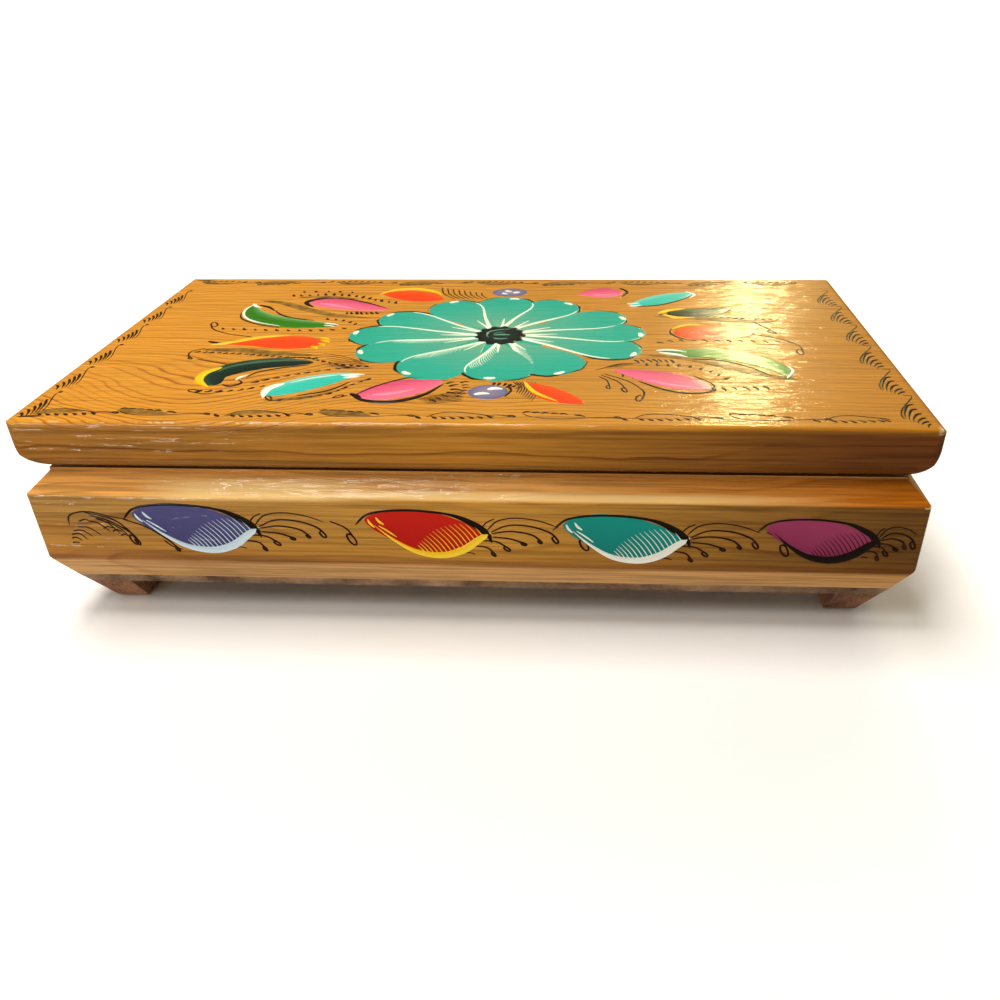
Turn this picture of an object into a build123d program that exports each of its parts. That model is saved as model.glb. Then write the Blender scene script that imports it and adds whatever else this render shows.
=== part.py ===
from build123d import *
import math
import os

# Hinged wooden jewelry box: a board lid on a mitred frame of moulded walls, a thin base and four small feet.
# Millimetres. +Z up, front towards -Y, origin on the resting surface under the middle of the box.

# Lid board
lid_length = 193.2
lid_depth = 100.6
lid_thickness = 12.7
lid_under_round = 6.0
lid_top_ease = 0.9
lid_end_under_round = 9.8
lid_end_top_round = 2.1
lid_corner_round = 2.4

# Walls, cut from one moulding and mitred at the corners
ridge_proud = 0.5
end_ridge_proud = 0.0
wall_thickness = 12.7
wall_height = 27.9
land_inset = 4.4
quirk_height = 0.7
chamfer_rise = 4.6
lower_bevel_rise = 7.3
lower_bevel_inset = 3.4
ridge_ease = 1.0
bevel_ease = 8.0
frame_corner_round = 0.8
lid_gap = 0.3

# Base board and feet
base_thickness = 2.9
base_edge_slope = 1.5
foot_height = 7.0
foot_width = 9.4
foot_edge_slope = 3.5
foot_inner_slope = 1.5
foot_ease = 0.6

# Hinges, a pair of small brass butt hinges let into the back wall and the lid
hinge_length = 20.0
hinge_spacing = 112.0
hinge_setback = 3.2
knuckle_radius = 1.5
knuckle_count = 3
knuckle_gap = 0.3
knuckle_relief = 0.3
leaf_reach = 8.0
leaf_thickness = 0.8
leaf_corner = 0.8
leaf_fit = 0.1
pin_radius = 0.75
pin_clearance = 0.05

# Countersunk screws of the hinges
screw_spacing = 11.0
screw_from_axis = 5.0
screw_length = 7.0
screw_shank_radius = 0.85
screw_head_radius = 1.6
screw_slot_width = 0.4
screw_slot_depth = 0.3
screw_point = 1.6

# Machine driven brads of the base and the feet, oblong in section with a chisel point
brad_width = 1.25
brad_depth = 1.0
brad_point = 1.5
base_brad_length = 12.0
base_brad_spacing = 56.0
foot_brad_length = 17.0
foot_brad_sink = 0.5
foot_brad_inset = 10.2

# Felt on the floor of the box
felt_thickness = 1.0
felt_clearance = 0.4

# Levels and outlines that follow from the sizes above
base_bottom = foot_height
wall_bottom = base_bottom + base_thickness
wall_top = wall_bottom + wall_height
lid_bottom = wall_top + lid_gap
lid_top = lid_bottom + lid_thickness
ridge_length = lid_length + 2 * end_ridge_proud
ridge_depth = lid_depth + 2 * ridge_proud
base_top_inset = lower_bevel_inset
base_bottom_inset = base_top_inset + base_edge_slope
foot_bottom_inset = base_bottom_inset + foot_edge_slope
inner_length = ridge_length - 2 * wall_thickness
inner_depth = ridge_depth - 2 * wall_thickness
hinge_y = lid_depth / 2 - hinge_setback
hinge_z = wall_top + lid_gap / 2
hinge_x = [-hinge_spacing / 2, hinge_spacing / 2]
screw_y = hinge_y - screw_from_axis
base_brad_inset = (lower_bevel_inset + wall_thickness) / 2
SIDES = {"left": -1, "right": 1}
ENDS = {"front": -1, "back": 1}


def profile_plane(distance):
    """Upright plane square to a wall along X: local x runs inwards from the ridge, local y up."""
    return Plane(origin=(0, -distance, 0), x_dir=(0, 1, 0), z_dir=(1, 0, 0))


def wall_section():
    """Moulding in section: land under the lid, small quirk, chamfer out to the ridge, face, lower bevel."""
    ridge = (0, wall_top - chamfer_rise)
    bevel = (0, wall_bottom + lower_bevel_rise)
    outline = make_face(
        Polyline(
            (land_inset, wall_top),
            (land_inset, wall_top - quirk_height),
            ridge,
            bevel,
            (lower_bevel_inset, wall_bottom),
            (wall_thickness, wall_bottom),
            (wall_thickness, wall_top),
            close=True,
        )
    )
    at_ridge = [v for v in outline.vertices() if abs(v.X) < 1e-6 and abs(v.Y - ridge[1]) < 1e-6]
    outline = fillet(at_ridge, ridge_ease)
    at_bevel = [v for v in outline.vertices() if abs(v.X) < 1e-6 and abs(v.Y - bevel[1]) < 1e-6]
    return fillet(at_bevel, bevel_ease)


def mitred_wall(length, distance, turn):
    """One wall of the frame: the moulding along X, cut to a mitre at both ends, turned about Z to its side."""
    moulding = extrude(profile_plane(distance) * wall_section(), length / 2, both=True)
    half = length / 2
    plan = make_face(
        Polyline(
            (-half, -distance),
            (half, -distance),
            (half - wall_thickness, -distance + wall_thickness),
            (-half + wall_thickness, -distance + wall_thickness),
            close=True,
        )
    )
    mitre = extrude(Pos(0, 0, wall_bottom) * plan, wall_height)
    frame = RectangleRounded(length, 2 * distance, frame_corner_round)
    corners = extrude(Pos(0, 0, wall_bottom) * frame, wall_height)
    return Rot(0, 0, turn) * (moulding & mitre & corners)


def rounded_prism(plane, width, run, under, upper):
    """Board of the given width and run whose two long sides are rounded under and over by their own radii."""
    half = width / 2
    corners = Polyline((-half, 0), (half, 0), (half, lid_thickness), (-half, lid_thickness), close=True)
    section = make_face(corners)
    section = fillet(section.vertices().group_by(Axis.Y)[0], under)
    section = fillet(section.vertices().group_by(Axis.Y)[-1], upper)
    return extrude(plane * section, run / 2, both=True)


def lid_board():
    """Board with long edges rounded under, end edges rounded more and also over, and its corners softened."""
    across = Plane(origin=(0, 0, lid_bottom), x_dir=(0, 1, 0), z_dir=(1, 0, 0))
    along = Plane(origin=(0, 0, lid_bottom), x_dir=(1, 0, 0), z_dir=(0, -1, 0))
    long_sides = rounded_prism(across, lid_depth, lid_length, lid_under_round, lid_top_ease)
    ends = rounded_prism(along, lid_length, lid_depth, lid_end_under_round, lid_end_top_round)
    plan = RectangleRounded(lid_length, lid_depth, lid_corner_round)
    return long_sides & ends & extrude(Pos(0, 0, lid_bottom) * plan, lid_thickness)


def tapered_slab(length, depth, inset_low, inset_high, low, high):
    """Slab with four edges that lean inwards, from inset_high at its top to inset_low at its bottom."""
    top = Pos(0, 0, high) * Rectangle(length - 2 * inset_high, depth - 2 * inset_high)
    bottom = Pos(0, 0, low) * Rectangle(length - 2 * inset_low, depth - 2 * inset_low)
    return loft([bottom, top])


def base_board():
    """Thin board under the walls, whose edge carries on the lean of the lower bevel."""
    return tapered_slab(
        ridge_length, ridge_depth, base_bottom_inset, base_top_inset, base_bottom, wall_bottom
    )


def foot_outline(side, end, inset, width, level):
    """Square plan of a foot at one level, its outer corner inset from the ridge of the walls."""
    x = side * (ridge_length / 2 - inset - width / 2)
    y = end * (ridge_depth / 2 - inset - width / 2)
    return Pos(x, y, level) * Rectangle(width, width)


def foot(side, end):
    """Small corner foot whose faces lean: the outer two carry on the base's edge, the inner two lean less."""
    bottom_width = foot_width - foot_edge_slope + foot_inner_slope
    top = foot_outline(side, end, base_bottom_inset, foot_width, foot_height)
    bottom = foot_outline(side, end, foot_bottom_inset, bottom_width, 0)
    piece = loft([bottom, top])
    return chamfer(piece.edges().group_by(Axis.Z)[0], foot_ease)


def hinge_screw(x, up):
    """Countersunk screw turned from its half section, head flush with its leaf. up points it into the lid."""
    half = Polyline(
        (0, 0),
        (screw_head_radius, 0),
        (screw_shank_radius, -leaf_thickness),
        (screw_shank_radius, screw_point - screw_length),
        (0, -screw_length),
        close=True,
    )
    screw = revolve(Plane.XZ * make_face(half), Axis.Z)
    if up:
        return Pos(x, screw_y, lid_bottom) * Rot(180, 0, 0) * screw
    return Pos(x, screw_y, wall_top) * screw


def slotted(screw, x, up):
    """The screw with its driver slot sawn across the head."""
    head = lid_bottom if up else wall_top
    slot = Box(2 * screw_head_radius, screw_slot_width, 2 * screw_slot_depth)
    return screw - Pos(x, screw_y, head) * slot


def brad(x, y, low, length):
    """Oblong brad driven upwards from the level named low, its chisel point along X."""
    half = brad_width / 2
    side = Polyline(
        (-half, 0), (half, 0), (half, length - brad_point), (0, length), (-half, length - brad_point), close=True
    )
    return Pos(x, y, low) * extrude(Plane.XZ * make_face(side), brad_depth / 2, both=True)


def screw_places():
    return [x + step * screw_spacing / 2 for x in hinge_x for step in (-1, 1)]


def base_brad_places():
    """Three brads into each long wall and one into each short wall, in the middle of the wall's foot."""
    y = ridge_depth / 2 - base_brad_inset
    x = ridge_length / 2 - base_brad_inset
    long_walls = [(step * base_brad_spacing, end * y) for end in ENDS.values() for step in (-1, 0, 1)]
    return long_walls + [(side * x, 0) for side in SIDES.values()]


def foot_brad_place(side, end):
    return side * (ridge_length / 2 - foot_brad_inset), end * (ridge_depth / 2 - foot_brad_inset)


def knuckles(x, leaf):
    """The barrel segments that belong to a leaf: every other one, the body's leaf taking both ends."""
    pitch = hinge_length / knuckle_count
    first = 0 if leaf == "body" else 1
    barrel = [
        Pos(x - hinge_length / 2 + (i + 0.5) * pitch, hinge_y, hinge_z)
        * Rot(0, 90, 0)
        * Cylinder(knuckle_radius, pitch - knuckle_gap)
        for i in range(first, knuckle_count, 2)
    ]
    return barrel


def hinge_leaf(x, leaf):
    """Flat leaf with rounded free corners, its own knuckles, clearance round the other's, and two countersinks."""
    up = leaf == "lid"
    level = lid_bottom if up else wall_top - leaf_thickness
    free_edge = hinge_y - leaf_reach
    plan = Pos(x, (free_edge + hinge_y) / 2) * Rectangle(hinge_length - knuckle_gap, leaf_reach)
    plan = fillet(plan.vertices().group_by(Axis.Y)[0], leaf_corner)
    plate = extrude(Pos(0, 0, level) * plan, leaf_thickness)
    pitch = hinge_length / knuckle_count
    other = 1 if leaf == "body" else 0
    for i in range(other, knuckle_count, 2):
        middle = Pos(x - hinge_length / 2 + (i + 0.5) * pitch, hinge_y, hinge_z) * Rot(0, 90, 0)
        plate -= middle * Cylinder(knuckle_radius + knuckle_relief, pitch + knuckle_gap)
    for barrel in knuckles(x, leaf):
        plate += barrel
    for step in (-1, 1):
        plate -= hinge_screw(x + step * screw_spacing / 2, up)
    bore_radius = pin_radius + pin_clearance if up else pin_radius
    return plate - Pos(x, hinge_y, hinge_z) * Rot(0, 90, 0) * Cylinder(bore_radius, hinge_length)


def hinge_pin(x):
    return Pos(x, hinge_y, hinge_z) * Rot(0, 90, 0) * Cylinder(pin_radius, hinge_length - knuckle_gap)


def hinge_mortise(x, up):
    """Shallow recess for a leaf and a round one for the barrel, to be cut out of the wall or the lid."""
    free_edge = hinge_y - leaf_reach - leaf_fit
    level = lid_bottom if up else wall_top - leaf_thickness
    length = hinge_length + 2 * leaf_fit
    plan = Pos(x, (free_edge + hinge_y) / 2) * Rectangle(length, hinge_y - free_edge)
    seat = extrude(Pos(0, 0, level) * plan, leaf_thickness)
    barrel = Pos(x, hinge_y, hinge_z) * Rot(0, 90, 0) * Cylinder(knuckle_radius + knuckle_relief, length)
    return seat + barrel


def floor_felt():
    """Sheet of felt glued on the base inside the walls."""
    length = inner_length - 2 * felt_clearance
    depth = inner_depth - 2 * felt_clearance
    sheet = Rectangle(length, depth)
    return extrude(Pos(0, 0, wall_bottom) * sheet, felt_thickness)


def without(piece, tools):
    for tool in tools:
        piece -= tool
    return piece


def build():
    """Every piece of the box, by the name of its node."""
    parts = {}
    corners = [(side, end) for side in SIDES.values() for end in ENDS.values()]
    screws_in_body = [hinge_screw(x, False) for x in screw_places()]
    screws_in_lid = [hinge_screw(x, True) for x in screw_places()]
    base_brads = [brad(x, y, base_bottom, base_brad_length) for x, y in base_brad_places()]
    foot_brads = [brad(*foot_brad_place(*c), foot_brad_sink, foot_brad_length) for c in corners]
    foot_holes = [brad(*foot_brad_place(*c), 0, foot_brad_length) for c in corners]
    brads = base_brads + foot_brads

    front = mitred_wall(ridge_length, ridge_depth / 2, 0)
    back = mitred_wall(ridge_length, ridge_depth / 2, 180)
    left = mitred_wall(ridge_depth, ridge_length / 2, -90)
    right = mitred_wall(ridge_depth, ridge_length / 2, 90)
    back = without(back, [hinge_mortise(x, False) for x in hinge_x] + screws_in_body)
    walls = {"front_wall": front, "back_wall": back, "left_wall": left, "right_wall": right}
    for name, wall in walls.items():
        parts[name] = without(wall, brads)
    parts["base_board"] = without(base_board(), brads)
    for end_name, end in ENDS.items():
        for side_name, side in SIDES.items():
            parts[f"foot_{end_name}_{side_name}"] = without(foot(side, end), foot_brads + foot_holes)
    parts["lid_board"] = without(lid_board(), [hinge_mortise(x, True) for x in hinge_x] + screws_in_lid)

    for side_name, x in zip(SIDES, hinge_x):
        parts[f"hinge_{side_name}_body_leaf"] = hinge_leaf(x, "body")
        parts[f"hinge_{side_name}_lid_leaf"] = hinge_leaf(x, "lid")
        parts[f"hinge_{side_name}_pin"] = hinge_pin(x)
    parts["hinge_screws_body"] = [slotted(s, x, False) for s, x in zip(screws_in_body, screw_places())]
    parts["hinge_screws_lid"] = [slotted(s, x, True) for s, x in zip(screws_in_lid, screw_places())]
    parts["base_brads"] = base_brads
    parts["foot_brads"] = foot_brads
    parts["floor_felt"] = floor_felt()
    return parts


def write(parts):
    os.makedirs("parts", exist_ok=True)
    for name, piece in parts.items():
        shapes = piece if isinstance(piece, list) else [piece]
        solids = [solid for shape in shapes for solid in shape.solids()]
        export_step(Compound(children=solids) if len(solids) > 1 else solids[0], f"parts/{name}.step")


if __name__ == "__main__":
    write(build())
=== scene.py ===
import math

import bpy
import numpy as np
from bpy.props import FloatProperty, PointerProperty
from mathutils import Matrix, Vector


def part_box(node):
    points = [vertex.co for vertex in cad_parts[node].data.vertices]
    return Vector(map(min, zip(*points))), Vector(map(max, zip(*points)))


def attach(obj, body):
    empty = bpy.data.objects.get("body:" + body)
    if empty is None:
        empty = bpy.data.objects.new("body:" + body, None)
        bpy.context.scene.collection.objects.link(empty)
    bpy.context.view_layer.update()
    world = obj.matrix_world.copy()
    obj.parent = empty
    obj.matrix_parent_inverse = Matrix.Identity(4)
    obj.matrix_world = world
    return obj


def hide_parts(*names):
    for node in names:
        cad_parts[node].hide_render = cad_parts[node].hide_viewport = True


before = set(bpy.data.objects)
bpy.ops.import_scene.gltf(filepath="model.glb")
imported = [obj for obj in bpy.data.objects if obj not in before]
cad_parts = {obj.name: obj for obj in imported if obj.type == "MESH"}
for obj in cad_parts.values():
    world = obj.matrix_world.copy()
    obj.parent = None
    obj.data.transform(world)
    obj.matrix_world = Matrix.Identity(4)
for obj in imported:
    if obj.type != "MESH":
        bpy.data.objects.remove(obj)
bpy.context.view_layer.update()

bl_info = {
    "name": "Painted jewelry box",
    "version": (1, 0, 0),
    "blender": (4, 5, 0),
    "location": "3D View > Sidebar > Box",
    "description": "Varnish, paint, metal and felt for a hinged wooden jewelry box",
    "category": "Object",
}

MM = 0.001
LID_LOW, LID_HIGH = (np.array(c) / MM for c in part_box("lid_board"))
WALL_LOW, WALL_HIGH = (np.array(c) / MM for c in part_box("front_wall"))
FELT_LOW, FELT_HIGH = (np.array(c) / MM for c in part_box("floor_felt"))
LID_TOP = LID_HIGH[2]
FRONT_FACE = -WALL_LOW[1]
END_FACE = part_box("right_wall")[1][0] / MM
# The walls' moulding in mm: its bevel with the ease above it, its chamfer and the land that carries the lid
BEVEL_IN, BEVEL_RISE, BEVEL_EASE = 3.4, 7.3, 8.0
CHAMFER_RISE, LAND_INSET = 4.6, 4.4
BEVEL_LEAN = math.atan2(BEVEL_IN, BEVEL_RISE)
FACE_FOOT = WALL_LOW[2] + BEVEL_RISE + BEVEL_EASE * math.tan(BEVEL_LEAN / 2)
# Heights of paint above the wood in mm: its sunk rim, a thin wash, and coats from the first to the last
RIM, WASH, COAT, LEAF, EDGE, TRIM = -0.005, 0.012, 0.03, 0.04, 0.09, 0.10
# The camera that fits the photograph: picture size, focal length and middle in pixels, place in m, turns in radians
PICTURE, FOCAL, MIDDLE = 1000, 864.7, (541.8, 501.4)
CAMERA_PLACE, YAW, PITCH, ROLL = (0.0245, -0.2069, 0.1271), 0.056, 0.540, -0.015


# Colours and nodes

def srgb(code):
    """'#rrggbb' to linear RGBA: c / 12.92 below 0.04045, else ((c + 0.055) / 1.055) ** 2.4."""
    c = np.array([int(code[i : i + 2], 16) / 255 for i in (1, 3, 5)])
    c = np.where(c <= 0.04045, c / 12.92, ((c + 0.055) / 1.055) ** 2.4)
    return (*map(float, c), 1.0)


def add(tree, kind, inputs=None, **settings):
    """Adds a node: settings are its properties, inputs its sockets, each linked or set."""
    node = tree.nodes.new(kind)
    for key, value in settings.items():
        setattr(node, key, value)
    for key, value in (inputs or {}).items():
        if isinstance(value, bpy.types.NodeSocket):
            tree.links.new(value, node.inputs[key])
        else:
            node.inputs[key].default_value = value
    return node


def calc(tree, operation, *values, **settings):
    """The operation on one to three numbers."""
    return add(tree, "ShaderNodeMath", dict(enumerate(values)), operation=operation, **settings).outputs[0]


def vector(tree, operation, *values, out=0):
    """The operation on one or two vectors."""
    return add(tree, "ShaderNodeVectorMath", dict(enumerate(values)), operation=operation).outputs[out]


def span(tree, value, low, high, first=0.0, last=1.0, **settings):
    """first at low to last at high, and held there beyond."""
    sockets = {"Value": value, "From Min": low, "From Max": high, "To Min": first, "To Max": last}
    return add(tree, "ShaderNodeMapRange", sockets, **settings).outputs[0]


def noise(tree, place, scale, detail, shift=(0, 0, 0), **more):
    """Noise of so many waves per metre, the same each way or one number for each axis."""
    if isinstance(scale, tuple):
        place = add(tree, "ShaderNodeMapping", {"Vector": place, "Scale": scale, "Location": shift}).outputs[0]
        scale = 1.0
    return add(tree, "ShaderNodeTexNoise", {"Vector": place, "Scale": scale, "Detail": detail, **more}).outputs["Fac"]


def mix(tree, share, a, b):
    """Colour a at share 0 to colour b at share 1."""
    return add(tree, "ShaderNodeMix", {"Factor": share, "A": a, "B": b}, data_type="RGBA").outputs["Result"]


def ramp(tree, value, stops):
    """Colours, or grey shares, by the value."""
    node = add(tree, "ShaderNodeValToRGB", {"Fac": value})
    elements = node.color_ramp.elements
    while len(elements) < len(stops):
        elements.new(0.5)
    for element, (place, colour) in zip(elements, stops):
        element.position = place
        element.color = srgb(colour) if isinstance(colour, str) else (colour, colour, colour, 1)
    return node.outputs["Color"]


def bump(tree, height, strength, distance, **more):
    """Relief of so many metres."""
    sockets = {"Height": height, "Strength": strength, "Distance": distance, **more}
    return add(tree, "ShaderNodeBump", sockets).outputs[0]


def object_place(tree):
    """Place on the object in m."""
    return add(tree, "ShaderNodeTexCoord").outputs["Object"]


def material(name):
    """Node material with nothing in its tree."""
    made = bpy.data.materials.new(name)
    made.use_nodes = True
    made.node_tree.nodes.clear()
    return made, made.node_tree


def principled(tree, inputs):
    """Principled shader with these inputs, wired to the material's output."""
    shader = add(tree, "ShaderNodeBsdfPrincipled", inputs)
    add(tree, "ShaderNodeOutputMaterial", {"Surface": shader.outputs[0]})


# Materials

def varnish_skin(tree, place):
    """Brush waves of the varnish, 1.8 mm apart, and dust and pores of 0.5 mm that break a highlight into sparks."""
    waves = bump(tree, noise(tree, place, (100, 560, 560), 2.0), 1.0, 0.0006)
    return bump(tree, noise(tree, place, 1900.0, 2.0), 1.0, 0.00006, Normal=waves)


def meet(tree, axes, lists, full):
    """1 where all the bands of one list meet, falling to 0 from the share full of each half width outwards."""
    found = 0.0
    for bands in lists:
        near = 1.0
        for axis, at, half in bands:
            far = calc(tree, "ABSOLUTE", calc(tree, "SUBTRACT", axes[axis], at * MM))
            near = calc(tree, "MULTIPLY", near, span(tree, far, full * half * MM, half * MM, 1.0, 0.0))
        found = calc(tree, "MAXIMUM", found, near)
    return found


def varnished_pine(name, along, pith, wander, tones, fade, ring, contrast, worn, edges, drift=0.0, swirls=(), pale=()):
    """Flat-sawn pine, planed and brushed with two coats of amber varnish.

    To the eye: honey ground, thin darker latewood lines that run along the board and bow where the tree did,
    fine fibre streaks, and a glossy skin with brush waves that break a reflection into ripples and sparks.
    Rings: the distance from the pith line, plus a slow wander, over the ring spacing.
    tones are (height in mm, three colours); fade says along which axis and at which three places, in mm, they rule.
    drift bends the limits between the lower tones by so many mm. swirls are (x, y, reach, lift) in mm: the lines bow
    aside by lift round x, y and stand out there. Chips of pale bare wood lie in broken spots where all bands of a list
    in edges meet, partly a painted highlight on the lid's front edge; a paler colour lies where those of a list in pale
    do, on the chamfer partly a painted highlight. A band is (axis, place, half width) in mm.
    """
    made, tree = material(name)
    place = object_place(tree)
    axes = add(tree, "ShaderNodeSeparateXYZ", {"Vector": place}).outputs
    turn = math.radians(90) if along == "y" else 0.0
    board = add(tree, "ShaderNodeMapping", {"Vector": place, "Rotation": (0, 0, turn)}).outputs[0]
    # Slow wander of the rings over some 120 mm of length and 30 mm of width, and a small one over 25 mm
    slow = noise(tree, board, (8, 30, 30), 1.0, shift=(0.2, 0.4, 0.1))
    quick = noise(tree, board, (40, 90, 90), 1.0)
    log = add(tree, "ShaderNodeMapping", {"Vector": board, "Location": pith}).outputs[0]
    radius = vector(tree, "LENGTH", vector(tree, "MULTIPLY", log, (0, 1, 1)), out="Value")
    for wave, size in ((slow, wander), (quick, 0.3 * wander)):
        radius = calc(tree, "MULTIPLY_ADD", wave, size, radius)
    accent, soft = 1.0, {"interpolation_type": "SMOOTHSTEP"}
    for x, y, reach, lift in swirls:
        # Height counts twelvefold, so that a swirl stays on the top
        off = vector(tree, "SUBTRACT", place, (x * MM, y * MM, LID_TOP * MM))
        off = vector(tree, "LENGTH", vector(tree, "MULTIPLY", off, (1, 1, 12)), out="Value")
        radius = calc(tree, "ADD", radius, span(tree, off, 0.0, reach * MM, lift * MM, 0.0, **soft))
        accent = calc(tree, "MAXIMUM", span(tree, off, 0.0, 1.2 * reach * MM, 1.7, 1.0, **soft), accent)
    # Fibres, 0.3 mm across and some 12 mm long
    fibre = noise(tree, board, (85, 3200, 3200), 3.0)
    turns = calc(tree, "DIVIDE", calc(tree, "MULTIPLY_ADD", fibre, 0.0003, radius), ring)
    lines = ramp(tree, calc(tree, "FRACT", turns),
                 [(0.0, 0.15), (0.25, 0.0), (0.64, 0.12), (0.85, 1.0), (0.94, 0.85), (1.0, 0.15)])
    # No two rings alike: the strength of each line follows a noise drawn over the ring count
    each = add(tree, "ShaderNodeTexNoise", {"W": calc(tree, "FLOOR", turns), "Scale": 0.83, "Detail": 1.0},
               noise_dimensions="1D").outputs["Fac"]
    strength = span(tree, each, 0.3, 0.7, 0.15, 1.7)
    # Streaks 2 mm wide and a hand long, and patches where the varnish lies thicker
    streak = noise(tree, board, (9, 480, 480), 4.0)
    patch = noise(tree, board, (14, 34, 34), 2.0)
    for share in (calc(tree, "MULTIPLY", streak, strength), span(tree, patch, 0.36, 0.6, 0.35, 1.2), accent):
        lines = calc(tree, "MULTIPLY", lines, share)
    lines = calc(tree, "MULTIPLY", lines, 2 * contrast, use_clamp=True)
    # Ground colour by height, its lower limits bent by a long noise, and deeper along the fade; on the lid and the
    # walls these tones hold painted shade as well as the wood's colour
    low, high = tones[0][0] * MM, tones[-1][0] * MM
    bend = calc(tree, "SUBTRACT", noise(tree, board, (13, 25, 25), 2.0), 0.5)
    give = span(tree, axes["Z"], 0.022, 0.028, drift * MM, 0.0)
    level = span(tree, calc(tree, "MULTIPLY_ADD", bend, give, axes["Z"]), low, high)
    ground = None
    for k in (1, 2, 3):
        tone = ramp(tree, level, [((t[0] * MM - low) / (high - low), t[k]) for t in tones])
        if k > 1:
            tone = mix(tree, span(tree, axes[fade[0]], fade[k - 1] * MM, fade[k] * MM), ground, tone)
        ground = tone
    colour = mix(tree, lines, ground, vector(tree, "MULTIPLY", ground, (0.56, 0.42, 0.32)))
    # Fibres and patches, then dark hairlines 0.7 mm wide and some 35 mm long, strongest on the edges below the top
    depth = span(tree, axes["Z"], high - 0.0006, high, 0.68, 0.86)
    hair = span(tree, noise(tree, board, (28, 1400, 1400), 3.0), 0.36, 0.56, depth, 1.04)
    shade = calc(tree, "MULTIPLY", span(tree, fibre, 0.3, 0.7, 0.86, 1.1), span(tree, patch, 0.3, 0.7, 0.93, 1.07))
    shade = calc(tree, "MULTIPLY", shade, hair)
    colour = add(tree, "ShaderNodeVectorMath", {0: colour, 3: shade}, operation="SCALE").outputs[0]
    # Paler colour where all bands of a pale list meet: on the chamfer partly a painted highlight
    if pale:
        colour = mix(tree, calc(tree, "MULTIPLY", meet(tree, axes, pale, 0.5), 0.8), colour, srgb("#fbd48c"))
    # Bare pale wood in broken spots where the varnish is worn off, and along the lid's front edge partly a painted
    # highlight
    chip, region = noise(tree, place, (520, 520, 1100), 5.0), noise(tree, place, 60.0, 1.0)
    spots = span(tree, calc(tree, "MULTIPLY_ADD", region, 0.5, chip), 0.785, 0.825)
    chips_and_edge_highlight = calc(tree, "MULTIPLY", calc(tree, "MULTIPLY", spots, meet(tree, axes, edges, 0.6)), worn)
    principled(tree, {
        "Base Color": mix(tree, chips_and_edge_highlight, colour, srgb("#dcc494")), "Roughness": span(tree, streak, 0.0, 1.0, 0.34, 0.5),
        "Normal": bump(tree, fibre, 0.4, 0.0001), "IOR": 1.45, "Specular IOR Level": 0.12,
        "Coat Normal": varnish_skin(tree, board), "Coat Weight": 0.55, "Coat Roughness": 0.07, "Coat IOR": 1.5})
    return made


def sawn_pine(name, dark, light, stretch):
    """Unplaned softwood stained by handling: torn fibres, dark hollows between them, no shine at all."""
    made, tree = material(name)
    place = object_place(tree)
    torn = noise(tree, place, stretch, 6.0, Roughness=0.7)
    tone = span(tree, calc(tree, "ADD", torn, noise(tree, place, 90.0, 3.0)), 0.75, 1.3)
    principled(tree, {"Base Color": mix(tree, tone, srgb(dark), srgb(light)), "Roughness": 0.85, "IOR": 1.5,
                      "Normal": bump(tree, torn, 0.8, 0.0006)})
    return made


def brushed_enamel(name, stops, rough=0.28, across=True):
    """Oil enamel laid on with a soft brush under the last coat of varnish.

    To the eye: one clean colour that shifts from edge to edge of the stroke, bristle lines along it, a soft gloss.
    stops are the colours from one edge of the stroke to the other, or along it.
    """
    made, tree = material(name)
    uv = add(tree, "ShaderNodeUVMap", uv_map="Stroke").outputs[0]
    axes = add(tree, "ShaderNodeSeparateXYZ", {"Vector": uv}).outputs
    # Bristle lines, some 14 across a stroke, shift its colours by up to an eighth
    bristle = noise(tree, uv, (2.5, 14.0, 1.0), 3.0)
    centred = calc(tree, "SUBTRACT", bristle, 0.5)
    fac = calc(tree, "MULTIPLY_ADD", centred, 0.25, axes["Y" if across else "X"])
    principled(tree, {"Base Color": ramp(tree, fac, stops), "Roughness": rough, "IOR": 1.5, "Specular IOR Level": 0.15,
                      "Normal": bump(tree, bristle, 0.3, 0.00006), "Coat Weight": 0.36, "Coat Roughness": 0.08,
                      "Coat Normal": varnish_skin(tree, object_place(tree))})
    return made


def pen_ink(name, thick, thin):
    """Thinned umber paint from a fine liner brush: near black where it pools, brown where it runs out."""
    made, tree = material(name)
    place = object_place(tree)
    tone = span(tree, noise(tree, place, 420.0, 3.0), 0.35, 0.65)
    principled(tree, {"Base Color": mix(tree, tone, srgb(thick), srgb(thin)), "Roughness": 0.45,
                      "Specular IOR Level": 0.1, "Coat Weight": 0.3, "Coat Roughness": 0.08,
                      "Coat Normal": varnish_skin(tree, place)})
    return made


def metal(name, bright, dull, rough):
    """Stamped or drawn metal gone slightly dull: fine scratches of 0.2 mm and a patchy tarnish."""
    made, tree = material(name)
    place = object_place(tree)
    scratch = noise(tree, place, (400, 5000, 5000), 3.0)
    colour = mix(tree, noise(tree, place, 500.0, 4.0), srgb(bright), srgb(dull))
    principled(tree, {"Base Color": colour, "Metallic": 1.0, "Normal": bump(tree, scratch, 0.2, 0.00005),
                      "Roughness": span(tree, scratch, 0.0, 1.0, rough - 0.1, rough + 0.15)})
    return made


def wool_felt(name, deep, pale):
    """Pressed wool felt, 1 mm: no weave, short matted hairs, a soft pale edge to the light."""
    made, tree = material(name)
    place = object_place(tree)
    hair = noise(tree, place, 1400.0, 5.0, Distortion=1.5)
    cloud = noise(tree, place, 60.0, 3.0)
    tone = span(tree, calc(tree, "MULTIPLY_ADD", cloud, 0.25, hair), 0.38, 0.86)
    principled(tree, {"Base Color": mix(tree, tone, srgb(deep), srgb(pale)), "Roughness": 0.95,
                      "Normal": bump(tree, hair, 0.9, 0.0003), "Sheen Weight": 0.5, "Sheen Roughness": 0.4})
    return made


# Brush strokes as surfaces

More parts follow.
